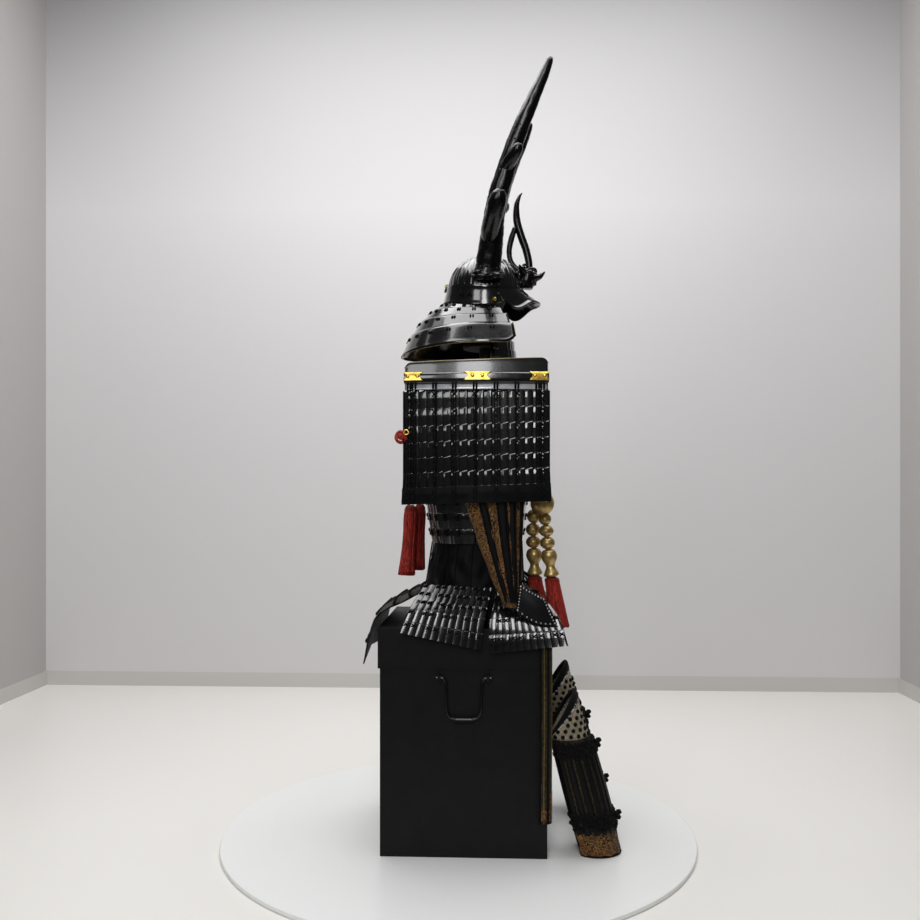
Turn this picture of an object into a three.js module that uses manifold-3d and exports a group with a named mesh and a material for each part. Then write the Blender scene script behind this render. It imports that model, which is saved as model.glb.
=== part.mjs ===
// Suit of samurai armour set out on its armour chest, in millimetres.
// The chest's bottom face is at z = 0, the suit faces -Y and its right side is towards -X.
import * as THREE from "three";
import Module from "manifold-3d";

const wasm = await Module();
wasm.setup();

// Driving dimensions
const GAP = 0.3;
const CHEST_HALF_X = 210;
const CHEST_HALF_Y = 208;
const LID_HALF_X = 214.5;
const LID_HALF_Y = 213;
const LID_BOTTOM = 469;
const LID_TOP = 569;
const BOARD = 10;
const LAME_STEP = 2.6;
const TRUNK_WALL = 3;
const CLOTH_WALL = 2.5;
const SODE_X = 302;
const SODE_REAR = 140;
const SODE_FRONT = -209;
const SODE_BOW = 14;
const BEAD_RADIUS = 12;
const BOWL_MID_Y = -52;
const BOWL_TOP = 1545;

// Colours of the materials
const LACQUER = 0x0b0c0f;
const BRAID = 0x121317;
const GOLD = 0xc79a34;
const SATIN_GOLD = 0xa0823f;
const RED = 0xb0321f;
const BROCADE = 0x5e4022;
const QUILT = 0xb0a688;
const PLAIN_WOOD = 0x8a6a48;

const armour = new THREE.Group();
armour.name = "samurai_armour";

const V = (x, y, z) => new THREE.Vector3(x, y, z);
const rad = (degrees) => (degrees * Math.PI) / 180;
const mix = (a, b, t) => a + (b - a) * t;
const clamp = (value, low, high) => Math.min(high, Math.max(low, value));

function add(name, geometry, colour, roughness, metalness) {
  geometry.computeVertexNormals();
  const material = new THREE.MeshStandardMaterial({ color: colour, roughness, metalness });
  const mesh = new THREE.Mesh(geometry, material);
  mesh.name = name;
  armour.add(mesh);
}

// A body from its points and triangles, turned to face outwards.
function body(points, triangles) {
  let volume = 0;
  for (const [a, b, c] of triangles) {
    volume += points[a].dot(V(0, 0, 0).crossVectors(points[b], points[c]));
  }
  const coords = [];
  for (const [a, b, c] of triangles) {
    const order = volume < 0 ? [a, c, b] : [a, b, c];
    for (const i of order) {
      coords.push(points[i].x, points[i].y, points[i].z);
    }
  }
  const geometry = new THREE.BufferGeometry();
  geometry.setAttribute("position", new THREE.Float32BufferAttribute(coords, 3));
  return geometry;
}

function steps(from, to, count) {
  return Array.from({ length: count + 1 }, (_, i) => mix(from, to, i / count));
}

// A wall with a plain inside surface, given by at(u, v), and raised points outside.
function wall({ at, us, vs, thick, from, raise = () => 0, lift = 0, round = false }) {
  const inner = [];
  const outer = [];
  const normals = [];
  const du = Math.abs(us[1] - us[0]) * 0.01;
  const dv = Math.abs(vs[vs.length - 1] - vs[0]) * 0.0005;
  let facing = 0;
  for (const v of vs) {
    for (const u of us) {
      const along = at(u + du, v).sub(at(u - du, v));
      const down = at(u, v + dv).sub(at(u, v - dv));
      const normal = V(0, 0, 0).crossVectors(along, down).normalize();
      normals.push(normal);
      facing += normal.dot(at(u, v).sub(from));
    }
  }
  const sign = facing < 0 ? -1 : 1;
  vs.forEach((v, j) => {
    us.forEach((u, i) => {
      const normal = normals[j * us.length + i].clone().multiplyScalar(sign);
      const base = at(u, v);
      inner.push(base.clone().addScaledVector(normal, lift));
      outer.push(base.clone().addScaledVector(normal, lift + thick + raise(u, v)));
    });
  });
  const count = us.length;
  const points = [...inner, ...outer];
  const triangles = [];
  const quad = (a, b, c, d) => triangles.push([a, b, c], [a, c, d]);
  const I = (j, i) => j * count + (round ? i % count : i);
  const O = (j, i) => inner.length + I(j, i);
  const across = round ? count : count - 1;
  const last = vs.length - 1;
  for (let j = 0; j < last; j++) {
    for (let i = 0; i < across; i++) {
      quad(O(j, i), O(j, i + 1), O(j + 1, i + 1), O(j + 1, i));
      quad(I(j, i), I(j + 1, i), I(j + 1, i + 1), I(j, i + 1));
    }
    if (!round) {
      quad(O(j, 0), O(j + 1, 0), I(j + 1, 0), I(j, 0));
      quad(O(j + 1, count - 1), O(j, count - 1), I(j, count - 1), I(j + 1, count - 1));
    }
  }
  for (let i = 0; i < across; i++) {
    quad(O(0, i + 1), O(0, i), I(0, i), I(0, i + 1));
    quad(O(last, i), O(last, i + 1), I(last, i + 1), I(last, i));
  }
  return body(points, triangles);
}

// Overlapping lames: each one stands out at its top edge and tucks in at its bottom.
function lames(edges, step) {
  const vs = [];
  for (let k = 0; k < edges.length - 1; k++) {
    const tiny = (edges[k + 1] - edges[k]) * 0.012;
    vs.push(k ? edges[k] + tiny : edges[k], k < edges.length - 2 ? edges[k + 1] - tiny : edges[k + 1]);
  }
  const raise = (v) => {
    for (let k = 0; k < edges.length - 1; k++) {
      const t = (v - edges[k]) / (edges[k + 1] - edges[k]);
      if (t <= 1 || k === edges.length - 2) return step * (1 - clamp(t, 0, 1));
    }
    return 0;
  };
  return { vs, raise };
}

// A solid through a row of rings, closed at both ends.
function loft(rings) {
  const count = rings[0].length;
  const points = rings.flat();
  const triangles = [];
  for (let j = 0; j < rings.length - 1; j++) {
    for (let i = 0; i < count; i++) {
      const next = (i + 1) % count;
      const a = j * count + i;
      const b = j * count + next;
      triangles.push([a, b, b + count], [a, b + count, a + count]);
    }
  }
  for (const [ring, start] of [[0, true], [rings.length - 1, false]]) {
    const centre = V(0, 0, 0);
    rings[ring].forEach((p) => centre.add(p));
    points.push(centre.multiplyScalar(1 / count));
    for (let i = 0; i < count; i++) {
      const a = ring * count + i;
      const b = ring * count + ((i + 1) % count);
      triangles.push(start ? [points.length - 1, b, a] : [points.length - 1, a, b]);
    }
  }
  return body(points, triangles);
}

// Rings along a path of [x, y, z, radius across, radius along side].
function pathRings(path, count, side) {
  const at = path.map(([x, y, z]) => V(x, y, z));
  return at.map((centre, k) => {
    const ahead = at[Math.min(k + 1, at.length - 1)];
    const tangent = ahead.clone().sub(at[Math.max(k - 1, 0)]).normalize();
    const one = side.clone().addScaledVector(tangent, -side.dot(tangent)).normalize();
    const two = V(0, 0, 0).crossVectors(tangent, one);
    const across = path[k][3];
    const along = path[k][4] ?? across;
    return Array.from({ length: count }, (_, i) => {
      const turn = (2 * Math.PI * i) / count;
      return centre
        .clone()
        .addScaledVector(one, across * Math.cos(turn))
        .addScaledVector(two, along * Math.sin(turn));
    });
  });
}

const sweep = (path, count, side) => loft(pathRings(path, count, side));

// A turned piece: rows of [radius, z] round a vertical axis through x, y.
function turned(profile, count, x, y) {
  return sweep(profile.map(([r, z]) => [x, y, z, r]), count, V(1, 0, 0));
}

function box(x0, x1, y0, y1, z0, z1) {
  const geometry = new THREE.BoxGeometry(x1 - x0, y1 - y0, z1 - z0);
  return geometry.translate((x0 + x1) / 2, (y0 + y1) / 2, (z0 + z1) / 2);
}

function mirrored(geometry) {
  const flat = geometry.index ? geometry.toNonIndexed() : geometry.clone();
  const p = flat.getAttribute("position");
  const coords = [];
  for (let i = 0; i < p.count; i += 3) {
    for (const k of [i, i + 2, i + 1]) {
      coords.push(-p.getX(k), p.getY(k), p.getZ(k));
    }
  }
  const out = new THREE.BufferGeometry();
  out.setAttribute("position", new THREE.Float32BufferAttribute(coords, 3));
  return out;
}

// Solids for joining and cutting
function solid(geometry) {
  const flat = geometry.index ? geometry.toNonIndexed() : geometry;
  const p = flat.getAttribute("position");
  const seen = new Map();
  const coords = [];
  const triVerts = [];
  for (let i = 0; i < p.count; i++) {
    const point = [p.getX(i), p.getY(i), p.getZ(i)].map((c) => Math.round(c * 1e4) / 1e4);
    const key = point.join();
    if (!seen.has(key)) {
      seen.set(key, seen.size);
      coords.push(...point);
    }
    triVerts.push(seen.get(key));
  }
  const kept = [];
  for (let i = 0; i < triVerts.length; i += 3) {
    const [a, b, c] = triVerts.slice(i, i + 3);
    if (a !== b && b !== c && a !== c) kept.push(a, b, c);
  }
  const options = { numProp: 3, vertProperties: new Float32Array(coords), triVerts: new Uint32Array(kept) };
  return new wasm.Manifold(new wasm.Mesh(options));
}

function surface(made) {
  const mesh = made.getMesh();
  const coords = [];
  for (const i of mesh.triVerts) {
    coords.push(...mesh.vertProperties.subarray(i * mesh.numProp, i * mesh.numProp + 3));
  }
  const geometry = new THREE.BufferGeometry();
  geometry.setAttribute("position", new THREE.Float32BufferAttribute(coords, 3));
  return geometry;
}

const join = (list) => surface(list.map(solid).reduce((a, b) => a.add(b)));
const cut = (from, list) => surface(list.map(solid).reduce((a, b) => a.subtract(b), solid(from)));

function pair(name, geometry, colour, roughness, metalness) {
  add(name + "_right", geometry, colour, roughness, metalness);
  add(name + "_left", mirrored(geometry), colour, roughness, metalness);
}

// Armour chest: open box with its lugs and bumpers, deep lid and two swinging bails
const BAIL_Z = 448;
const BAIL_X = -CHEST_HALF_X - 7;
const LUG_Y = [59, -62];
const BAIL_WIRE = 3.6;
const chestOuter = box(-CHEST_HALF_X, CHEST_HALF_X, -CHEST_HALF_Y, CHEST_HALF_Y, 0, LID_TOP - BOARD - GAP);
const chestHollow = box(
  -CHEST_HALF_X + BOARD,
  CHEST_HALF_X - BOARD,
  -CHEST_HALF_Y + BOARD,
  CHEST_HALF_Y - BOARD,
  BOARD,
  LID_TOP,
);
const fittings = [];
const holes = [chestHollow];
for (const y of LUG_Y) {
  const lug = box(BAIL_X - 7, -CHEST_HALF_X + 4, y - 4, y + 4, BAIL_Z - 8, BAIL_Z + 8);
  const hole = new THREE.CylinderGeometry(BAIL_WIRE + 0.4, BAIL_WIRE + 0.4, 20, 12).translate(BAIL_X, y, BAIL_Z);
  fittings.push(lug, mirrored(lug));
  holes.push(hole, mirrored(hole));
}
const bumper = box(-CHEST_HALF_X - 2.7, -CHEST_HALF_X + 4, -27, 24, 300, 332);
fittings.push(bumper, mirrored(bumper));
add("chest_body", cut(join([chestOuter, ...fittings]), holes), LACQUER, 0.35, 0);
const lidOuter = box(-LID_HALF_X, LID_HALF_X, -LID_HALF_Y, LID_HALF_Y, LID_BOTTOM, LID_TOP);
const lidHollow = box(
  -CHEST_HALF_X - GAP,
  CHEST_HALF_X + GAP,
  -CHEST_HALF_Y - GAP,
  CHEST_HALF_Y + GAP,
  LID_BOTTOM - 10,
  LID_TOP - BOARD,
);
add("chest_lid", cut(lidOuter, [lidHollow]), LACQUER, 0.35, 0);
// Bail wire: rows of [y, z] from the rear lug round to the front lug
const bailPath = [
  [67, 448],
  [56, 448],
  [50, 447],
  [46, 443],
  [43.5, 436],
  [41, 372],
  [38, 357],
  [30, 348],
  [18, 345],
  [-21, 345],
  [-33, 348],
  [-41, 357],
  [-44, 372],
  [-46.5, 436],
  [-49, 443],
  [-53, 447],
  [-59, 448],
  [-70, 448],
];
const bail = sweep(bailPath.map(([y, z]) => [BAIL_X, y, z, BAIL_WIRE]), 8, V(1, 0, 0));
pair("bail", bail, LACQUER, 0.4, 0.6);

// Trunk sections: half width across X, front and rear Y of the inside surface
const TRUNK = [
  { z: 560, half: 186, front: -176, rear: 140 },
  { z: 640, half: 160, front: -150, rear: 104 },
  { z: 775, half: 148, front: -147, rear: 87 },
  { z: 872, half: 160, front: -158, rear: 101 },
  { z: 960, half: 170, front: -165, rear: 105 },
  { z: 1050, half: 168, front: -163, rear: 102 },
  { z: 1200, half: 150, front: -146, rear: 88 },
];
function section(table, z) {
  let k = 0;
  while (k < table.length - 2 && z > table[k + 1].z) k++;
  const t = clamp((z - table[k].z) / (table[k + 1].z - table[k].z), -0.2, 1.2);
  const out = {};
  for (const column of Object.keys(table[0])) {
    out[column] = mix(table[k][column], table[k + 1][column], t);
  }
  return out;
}
const squared = (value, power) => Math.sign(value) * Math.pow(Math.abs(value), power);
// Point on the trunk: angle 0 is the front, 90 the suit's left side.
function trunk(angle, z) {
  const s = section(TRUNK, z);
  const mid = (s.front + s.rear) / 2;
  const depth = (s.rear - s.front) / 2;
  const x = s.half * squared(Math.sin(rad(angle)), 0.8);
  const y = mid - depth * squared(Math.cos(rad(angle)), 0.8);
  return V(x, y, z);
}
const AXIS = V(0, -30, 1000);
const axisAt = (z) => V(0, -30, z);

const waistRows = lames([1015, 975, 935, 895, 855, 815, 775], LAME_STEP);
const sideStop = 89.975;
add(
  "do_front",
  wall({
    at: trunk,
    us: steps(-sideStop, sideStop, 10),
    vs: waistRows.vs,
    thick: TRUNK_WALL,
    from: axisAt(895),
    raise: (u, v) => waistRows.raise(v),
  }),
  LACQUER,
  0.25,
  0.1,
);
add(
  "do_back",
  wall({
    at: (u, v) => trunk(u + 180, v),
    us: steps(-sideStop, sideStop, 10),
    vs: waistRows.vs,
    thick: TRUNK_WALL,
    from: axisAt(895),
    raise: (u, v) => waistRows.raise(v),
  }),
  LACQUER,
  0.25,
  0.1,
);
const chestRows = lames([1135, 1095, 1055, 1015.4], LAME_STEP);
add(
  "chest_plate",
  wall({
    at: (u, v) => trunk(u * mix(64, 40, (v - 1015) / 120), v),
    us: steps(-1, 1, 10),
    vs: chestRows.vs,
    thick: TRUNK_WALL,
    from: axisAt(1080),
    raise: (u, v) => chestRows.raise(v),
  }),
  LACQUER,
  0.25,
  0.1,
);
const backRows = lames([1185, 1142, 1100, 1058, 1015.4], LAME_STEP);
add(
  "back_plate",
  wall({
    at: (u, v) => trunk(180 + u * mix(66, 44, (v - 1015) / 170), v),
    us: steps(-1, 1, 10),
    vs: backRows.vs,
    thick: TRUNK_WALL,
    from: axisAt(1100),
    raise: (u, v) => backRows.raise(v),
  }),
  LACQUER,
  0.25,
  0.1,
);
const strap = sweep(
  [
    [-74, -167.5, 1085, 22, 3],
    [-74, -167, 1120, 22, 3],
    [-78, -158, 1160, 22, 3],
    [-84, -125, 1200, 22, 3],
    [-88, -70, 1219.6, 22, 3],
    [-88, -10, 1219.6, 22, 3],
    [-84, 45, 1212, 22, 3],
    [-78, 94, 1189.5, 22, 3],
  ],
  10,
  V(1, 0, 0),
);
pair("shoulder_strap", strap, LACQUER, 0.3, 0.1);

// Cloth under the body armour, standing on the lid inside the tassets
const CLOTH_FOOT = LID_TOP + GAP;
add(
  "waist_cloth",
  wall({
    at: (u, v) => {
      const p = trunk(u, clamp(v, 600, 790));
      const slim = v > 700 ? mix(0.99, 0.952, (v - 700) / 90) : 0.99;
      return V(p.x * slim, -30 + (p.y + 30) * slim, v);
    },
    us: steps(0, 345, 23),
    vs: [792, 770, 740, 680, 620, CLOTH_FOOT],
    thick: CLOTH_WALL,
    from: axisAt(680),
    raise: (u, v) => (v > 765 || v < 645 ? 0 : 1.3 * (1 + Math.cos(rad(u * 12)))),
    round: true,
  }),
  BRAID,
  0.85,
  0,
);

// Tassets: four lines of points from the top of each flap to its bottom edge
const flapLines = {
  front: [
    [[-64, -152.8, 668], [64, -152.8, 668]],
    [[-68, -188, 630], [68, -188, 630]],
    [[-74, -217.5, 588], [74, -217.5, 588]],
    [[-80, -226, 498], [80, -226, 498]],
  ],
  front_right: [
    [[-156.5, -81.5, 668], [-98, -148, 677]],
    [[-196, -76, 630], [-158, -196, 642]],
    [[-228, -66, 586], [-216, -238, 594]],
    [[-238, -64, 511], [-236, -258, 532]],
  ],
  side_right: [
    [[-164, -70, 665], [-146, 100, 669]],
    [[-197, -62, 627], [-176, 118, 642]],
    [[-226, -52, 586], [-222, 138, 608]],
    [[-240, -44, 520], [-243, 156, 562]],
  ],
  back_right: [
    [[-104, 96, 655], [-2, 107.8, 655]],
    [[-146, 150, 628], [-2, 160, 628]],
    [[-180, 218, 592], [-2, 222, 590]],
    [[-206, 248, 478], [-2, 258, 492]],
  ],
};
const FLAP_ROWS = 5;
function flap(lines, bow) {
  const rows = lames(steps(0, 1, FLAP_ROWS), LAME_STEP);
  const towards = V(0, 0, 0);
  lines.flat().forEach(([x, y]) => towards.add(V(x, y, 0)));
  towards.normalize();
  const at = (u, v) => {
    const ends = lines.map(([a, b]) => V(...a).lerp(V(...b), u));
    const p = new THREE.CatmullRomCurve3(ends, false, "centripetal").getPoint(clamp(v, 0, 1));
    if (v < 0 || v > 1) {
      const near = new THREE.CatmullRomCurve3(ends, false, "centripetal");
      const edge = v < 0 ? 0 : 1;
      p.addScaledVector(near.getTangent(edge), (v - edge) * 150);
    }
    return p.addScaledVector(towards, bow * (1 - (2 * u - 1) ** 2) * (1 - clamp(v, 0, 1)));
  };
  return wall({
    at,
    us: steps(0, 1, 5),
    vs: rows.vs,
    thick: 2.6,
    from: V(0, 0, 560),
    raise: (u, v) => rows.raise(v),
  });
}
add("tasset_front", flap(flapLines.front, 2), LACQUER, 0.25, 0.1);
pair("tasset_front_side", flap(flapLines.front_right, 3), LACQUER, 0.25, 0.1);
pair("tasset_side", flap(flapLines.side_right, 4), LACQUER, 0.25, 0.1);
pair("tasset_back", flap(flapLines.back_right, 3), LACQUER, 0.25, 0.1);

// Shoulder shields: a curved panel of seven rows, its top plate and the bar over the joint
const sodeX = (y) => {
  const s = (y - (SODE_REAR + SODE_FRONT) / 2) / ((SODE_REAR - SODE_FRONT) / 2);
  return -(SODE_X - SODE_BOW * s * s);
};
const sodeRows = lames([1151, 1111, 1072, 1034, 997, 961, 923, 882], LAME_STEP);
const sodePanel = wall({
  at: (u, v) => V(sodeX(u), u, v),
  us: steps(SODE_REAR, SODE_FRONT, 7),
  vs: sodeRows.vs,
  thick: 2.6,
  from: V(0, -35, 1000),
  raise: (u, v) => sodeRows.raise(v),
});
pair("sode_panel", sodePanel, LACQUER, 0.25, 0.1);
const SODE_PLATE_REAR = 136;
const SODE_PLATE_FRONT = -205;
const plateTop = (y) => mix(1219, 1229, (SODE_PLATE_REAR - y) / (SODE_PLATE_REAR - SODE_PLATE_FRONT));
const sodePlate = wall({
  at: (u, v) => V(sodeX(u) + 5 * v * v, u, mix(1151.4, plateTop(u), v)),
  us: steps(SODE_PLATE_REAR, SODE_PLATE_FRONT, 8),
  vs: [0, 0.5, 0.93, 1],
  thick: 2.4,
  from: V(0, -35, 1190),
  raise: (u, v) => (v > 0.97 ? 1.4 : 0),
});
pair("sode_top_plate", sodePlate, LACQUER, 0.2, 0.1);
const sodeBar = sweep(
  steps(138, -207, 8).map((y) => [sodeX(y) - 7.6, y, 1181.5, 5.6, 15]),
  10,
  V(1, 0, 0),
);
pair("sode_bar", sodeBar, LACQUER, 0.2, 0.1);

// Sleeves: rings of the inside surface
const SLEEVE = [
  { z: 628, x: -246, y: -118, halfX: 22, halfY: 11 },
  { z: 700, x: -246, y: -107, halfX: 28, halfY: 29 },
  { z: 780, x: -247, y: -94, halfX: 30, halfY: 47 },
  { z: 881, x: -248, y: -78, halfX: 34, halfY: 69 },
  { z: 1000, x: -250, y: -58, halfX: 42, halfY: 70 },
  { z: 1100, x: -251, y: -42, halfX: 48, halfY: 68 },
  { z: 1196, x: -246, y: -28, halfX: 47, halfY: 62 },
];
function sleeveAt(angle, z) {
  const s = section(SLEEVE, z);
  const x = s.x + s.halfX * squared(Math.cos(rad(angle)), 0.85);
  const y = s.y + s.halfY * squared(Math.sin(rad(angle)), 0.85);
  return V(x, y, z);
}
const sleeve = wall({
  at: sleeveAt,
  us: steps(0, 330, 11),
  vs: [1196, 1100, 1000, 920, 881, 830, 780, 700, 628],
  thick: CLOTH_WALL,
  from: V(-246, -70, 900),
  raise: (u, v) => (v < 900 && Math.round(u / 30) % 2 ? 1.4 : 0),
  round: true,
});
pair("kote_sleeve", sleeve, BROCADE, 0.8, 0);
// Hand plate: two edges, each from its upper to its lower end, as [y, z]
const HAND_REAR = [[-139, 684], [-129, 624]];
const HAND_FRONT = [[-198, 650], [-229, 590]];
const handPlate = wall({
  at: (u, v) => {
    const y = mix(mix(HAND_REAR[0][0], HAND_REAR[1][0], v), mix(HAND_FRONT[0][0], HAND_FRONT[1][0], v), u);
    const z = mix(mix(HAND_REAR[0][1], HAND_REAR[1][1], v), mix(HAND_FRONT[0][1], HAND_FRONT[1][1], v), u);
    const swell = (1 - (2 * u - 1) ** 2) * (1 - (2 * v - 1) ** 2);
    return V(-261 - 8 * swell, y, z - 16 * v * (1 - (2 * u - 1) ** 2));
  },
  us: steps(0, 1, 6),
  vs: steps(0, 1, 4),
  thick: 2.6,
  from: V(-200, -175, 630),
});
pair("hand_plate", handPlate, LACQUER, 0.25, 0.1);

const ease = (t) => clamp(t, 0, 1) ** 2 * (3 - 2 * clamp(t, 0, 1));

// Helmet: bowl, ribs, crown fitting, base band, peak and neck guard
const BOWL_SIDE = 96;
const BOWL_FRONT = 97;
const BOWL_REAR = 97;
const bowlReach = (c) => mix(BOWL_FRONT, BOWL_REAR, (1 - c) / 2);
const bowlBase = (c) => 1440 + (c > 0 ? 4 * c : -12 * c);
function bowlAt(u, v) {
  const c = Math.cos(rad(u));
  const f = Math.cos(rad(v * 90));
  const g = Math.sqrt(Math.max(1 - f * f, 0)) * (v < 0 ? -1 : 1);
  const z = mix(bowlBase(c), BOWL_TOP, g);
  return V(BOWL_SIDE * f * Math.sin(rad(u)), BOWL_MID_Y - bowlReach(c) * f * c, z);
}
const ribs = 32;
add(
  "helmet_bowl",
  wall({
    at: bowlAt,
    us: steps(0, 360 - 360 / ribs, ribs - 1),
    vs: [0.02, 0.2, 0.42, 0.62, 0.79, 0.92],
    thick: 2.4,
    from: V(0, BOWL_MID_Y, 1440),
    raise: (u) => (Math.round(u / (360 / ribs)) % 2 ? 1.5 : 0),
    round: true,
  }),
  LACQUER,
  0.2,
  0.1,
);
// Plain stand inside the suit, its head block shaped to the inside of the bowl
const flatRing = (radius, z) =>
  steps(0, 337.5, 15).map((u) => V(radius * Math.sin(rad(u)), BOWL_MID_Y - radius * Math.cos(rad(u)), z));
const bowlRing = (v, inset) =>
  steps(0, 337.5, 15).map((u) => {
    const p = bowlAt(u, v);
    const out = V(p.x, p.y - BOWL_MID_Y, (p.z - 1440) * 0.9).normalize();
    return p.addScaledVector(out, -inset);
  });
const headBlock = loft([
  flatRing(17, 1190),
  flatRing(17, 1385),
  flatRing(46, 1402),
  bowlRing(0.2, 12),
  bowlRing(0.42, 5),
  bowlRing(0.62, 0.5),
  bowlRing(0.79, 0.5),
  bowlRing(0.92, 0.5),
]);
const standPieces = [
  box(-110, 110, -105, 45, LID_TOP + GAP, LID_TOP + 18),
  box(-22, 22, -52, -8, LID_TOP + 10, 1200),
  box(-196.2, 196.2, -50, -10, 1176, 1216),
  turned([[67, 1294], [67, 1302]], 24, 0, -58),
  headBlock,
];
add("stand", join(standPieces), PLAIN_WOOD, 0.6, 0);
const crown = [[8, 1544.3], [8, 1548.1], [19, 1548.4], [19, 1550.7], [12, 1552.2], [11, 1554.7], [6, 1556.1]];
add("helmet_crown", turned(crown, 10, 0, BOWL_MID_Y), GOLD, 0.3, 1);
const bandAt = (u, v) => {
  const c = Math.cos(rad(u));
  const low = mix(1397, c > 0 ? 1432 : 1416, c * c);
  const flare = 10 * v * Math.max(-c, 0);
  const x = (BOWL_SIDE + 5.2) * Math.sin(rad(u));
  return V(x, BOWL_MID_Y - (bowlReach(c) + 5.2 + flare) * c, mix(bowlBase(c) + 5, low, v));
};
add(
  "helmet_band",
  wall({
    at: bandAt,
    us: steps(0, 345, 23),
    vs: [0, 1],
    thick: 2.4,
    from: V(0, BOWL_MID_Y, 1420),
    round: true,
  }),
  LACQUER,
  0.2,
  0.1,
);
add(
  "helmet_peak",
  wall({
    at: (u, v) => {
      const c = Math.cos(rad(u));
      const top = 1428 + 16 * c;
      const low = 1412 - 25 * ease((0.9 - c) / 0.32) + 20 * ease((0.55 - c) / 0.24);
      const reach = mix(bowlReach(c) + 8.2, 144 + 3 * c, v);
      return V((BOWL_SIDE + 8.2 + 2 * v) * Math.sin(rad(u)), BOWL_MID_Y - reach * c, mix(top, low, v));
    },
    us: steps(-72, 72, 16),
    vs: [0, 0.35, 0.7, 0.94, 1],
    thick: 2.4,
    from: V(0, BOWL_MID_Y, 1300),
    raise: (u, v) => (v > 0.97 ? 1.6 : 0),
  }),
  LACQUER,
  0.2,
  0.1,
);
// Neck guard sections from the band down: side height, rear height, half width, rear Y
const GUARD = [
  { v: 0, side: 1394.8, rearZ: 1413.6, half: 99, rearY: 58 },
  { v: 1, side: 1382, rearZ: 1391, half: 113, rearY: 90 },
  { v: 2, side: 1361, rearZ: 1359, half: 127, rearY: 119 },
  { v: 3, side: 1333, rearZ: 1318, half: 145, rearY: 144 },
  { v: 4, side: 1281, rearZ: 1266, half: 168, rearY: 167 },
];
function guardAt(u, v) {
  const k = clamp(Math.floor(v), 0, 3);
  const t = v - k;
  const s = {};
  for (const column of Object.keys(GUARD[0])) {
    s[column] = mix(GUARD[k][column], GUARD[k + 1][column], t);
  }
  const c = Math.cos(rad(u));
  const back = Math.max(c, 0);
  return V(s.half * Math.sin(rad(u)), -50 + (s.rearY + 50) * c, mix(s.side, s.rearZ, back * back));
}
for (let k = 0; k < 4; k++) {
  const end = 106 + 2 * k;
  add(
    "neck_guard_" + (k + 1),
    wall({
      at: guardAt,
      us: steps(-end, end, 18),
      vs: k === 3 ? [k - 0.06, k + 0.5, k + 0.93, k + 1] : [k ? k - 0.1 : 0, k + 0.96],
      thick: 2.2,
      lift: k * 2.9,
      from: V(0, -50, 1300),
      raise: (u, v) => (v > 3.97 ? 2 : 0),
    }),
    LACQUER,
    0.2,
    0.1,
  );
}
const EYE = [0, 52.5, 1464.8];
const RING_TILT = 0.35;
const RING_RADIUS = 8;
add(
  "rear_eye",
  new THREE.TorusGeometry(4.6, 1.5, 6, 12).rotateY(Math.PI / 2).translate(...EYE),
  GOLD,
  0.3,
  1,
);
add(
  "rear_ring",
  new THREE.TorusGeometry(RING_RADIUS, 2.2, 6, 14)
    .rotateX(Math.PI / 2 + RING_TILT)
    .translate(EYE[0], EYE[1] + RING_RADIUS * Math.sin(RING_TILT), EYE[2] - RING_RADIUS * Math.cos(RING_TILT)),
  GOLD,
  0.3,
  1,
);

// Antlers: rows of x, y, z and radius along the beam, then the two tines
const BEAM = [
  [-92, -59, 1461, 24],
  [-93, -59, 1466, 35],
  [-96, -59, 1478, 37],
  [-100, -60, 1491, 33],
  [-107, -63, 1512, 32],
  [-124, -70, 1560, 30],
  [-150, -77, 1612, 27],
  [-170, -87, 1657, 25],
  [-182, -103, 1705, 23.5],
  [-194, -127, 1775, 21.5],
  [-202, -150, 1830, 19],
  [-206, -174, 1885, 16],
  [-207, -196, 1932, 13],
  [-206, -212, 1972, 9.5],
  [-205, -217, 1985, 5.5],
];
const TINE_LOW = [
  [-130, -64, 1560, 22],
  [-160, -67, 1578, 22.5],
  [-190, -76, 1602, 23],
  [-212, -84, 1625, 22.5],
  [-224, -90, 1643, 18],
  [-229, -93, 1653, 9],
];
const TINE_HIGH = [
  [-186, -104, 1716, 17],
  [-206, -114, 1728, 16.5],
  [-226, -130, 1745, 15],
  [-234, -137, 1756, 11.5],
  [-237, -140, 1762, 5.5],
];
// The left antler leans further back than the right one
const LEFT_LEAN = 0.1;
const LEFT_LEAN_MOST = 36;
const leaned = (rows) =>
  rows.map(([x, y, z, r]) => [x, y + clamp((z - 1475) * LEFT_LEAN, 0, LEFT_LEAN_MOST), z, r]);
// Solid dome just outside the bowl, to scribe the fittings to it
const domeBlock = loft(
  [0, 0.2, 0.4, 0.6, 0.8, 0.95].map((v) =>
    steps(0, 345, 23).map((u) => {
      const p = bowlAt(u, v);
      const out = V(p.x, p.y - BOWL_MID_Y, (p.z - 1440) * 0.9).normalize();
      return p.addScaledVector(out, 4.9);
    }),
  ),
);
const scribed = (geometry) => cut(geometry, [domeBlock]);
const antler = (set) =>
  scribed(join([
    sweep(set(BEAM), 11, V(1, 0, 0)),
    sweep(set(TINE_LOW), 8, V(0, 1, 0)),
    sweep(set(TINE_HIGH), 8, V(0, 1, 0)),
  ]));
add("antler_right", antler((rows) => rows), LACQUER, 0.3, 0);
add("antler_left", mirrored(antler(leaned)), LACQUER, 0.3, 0);

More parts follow.
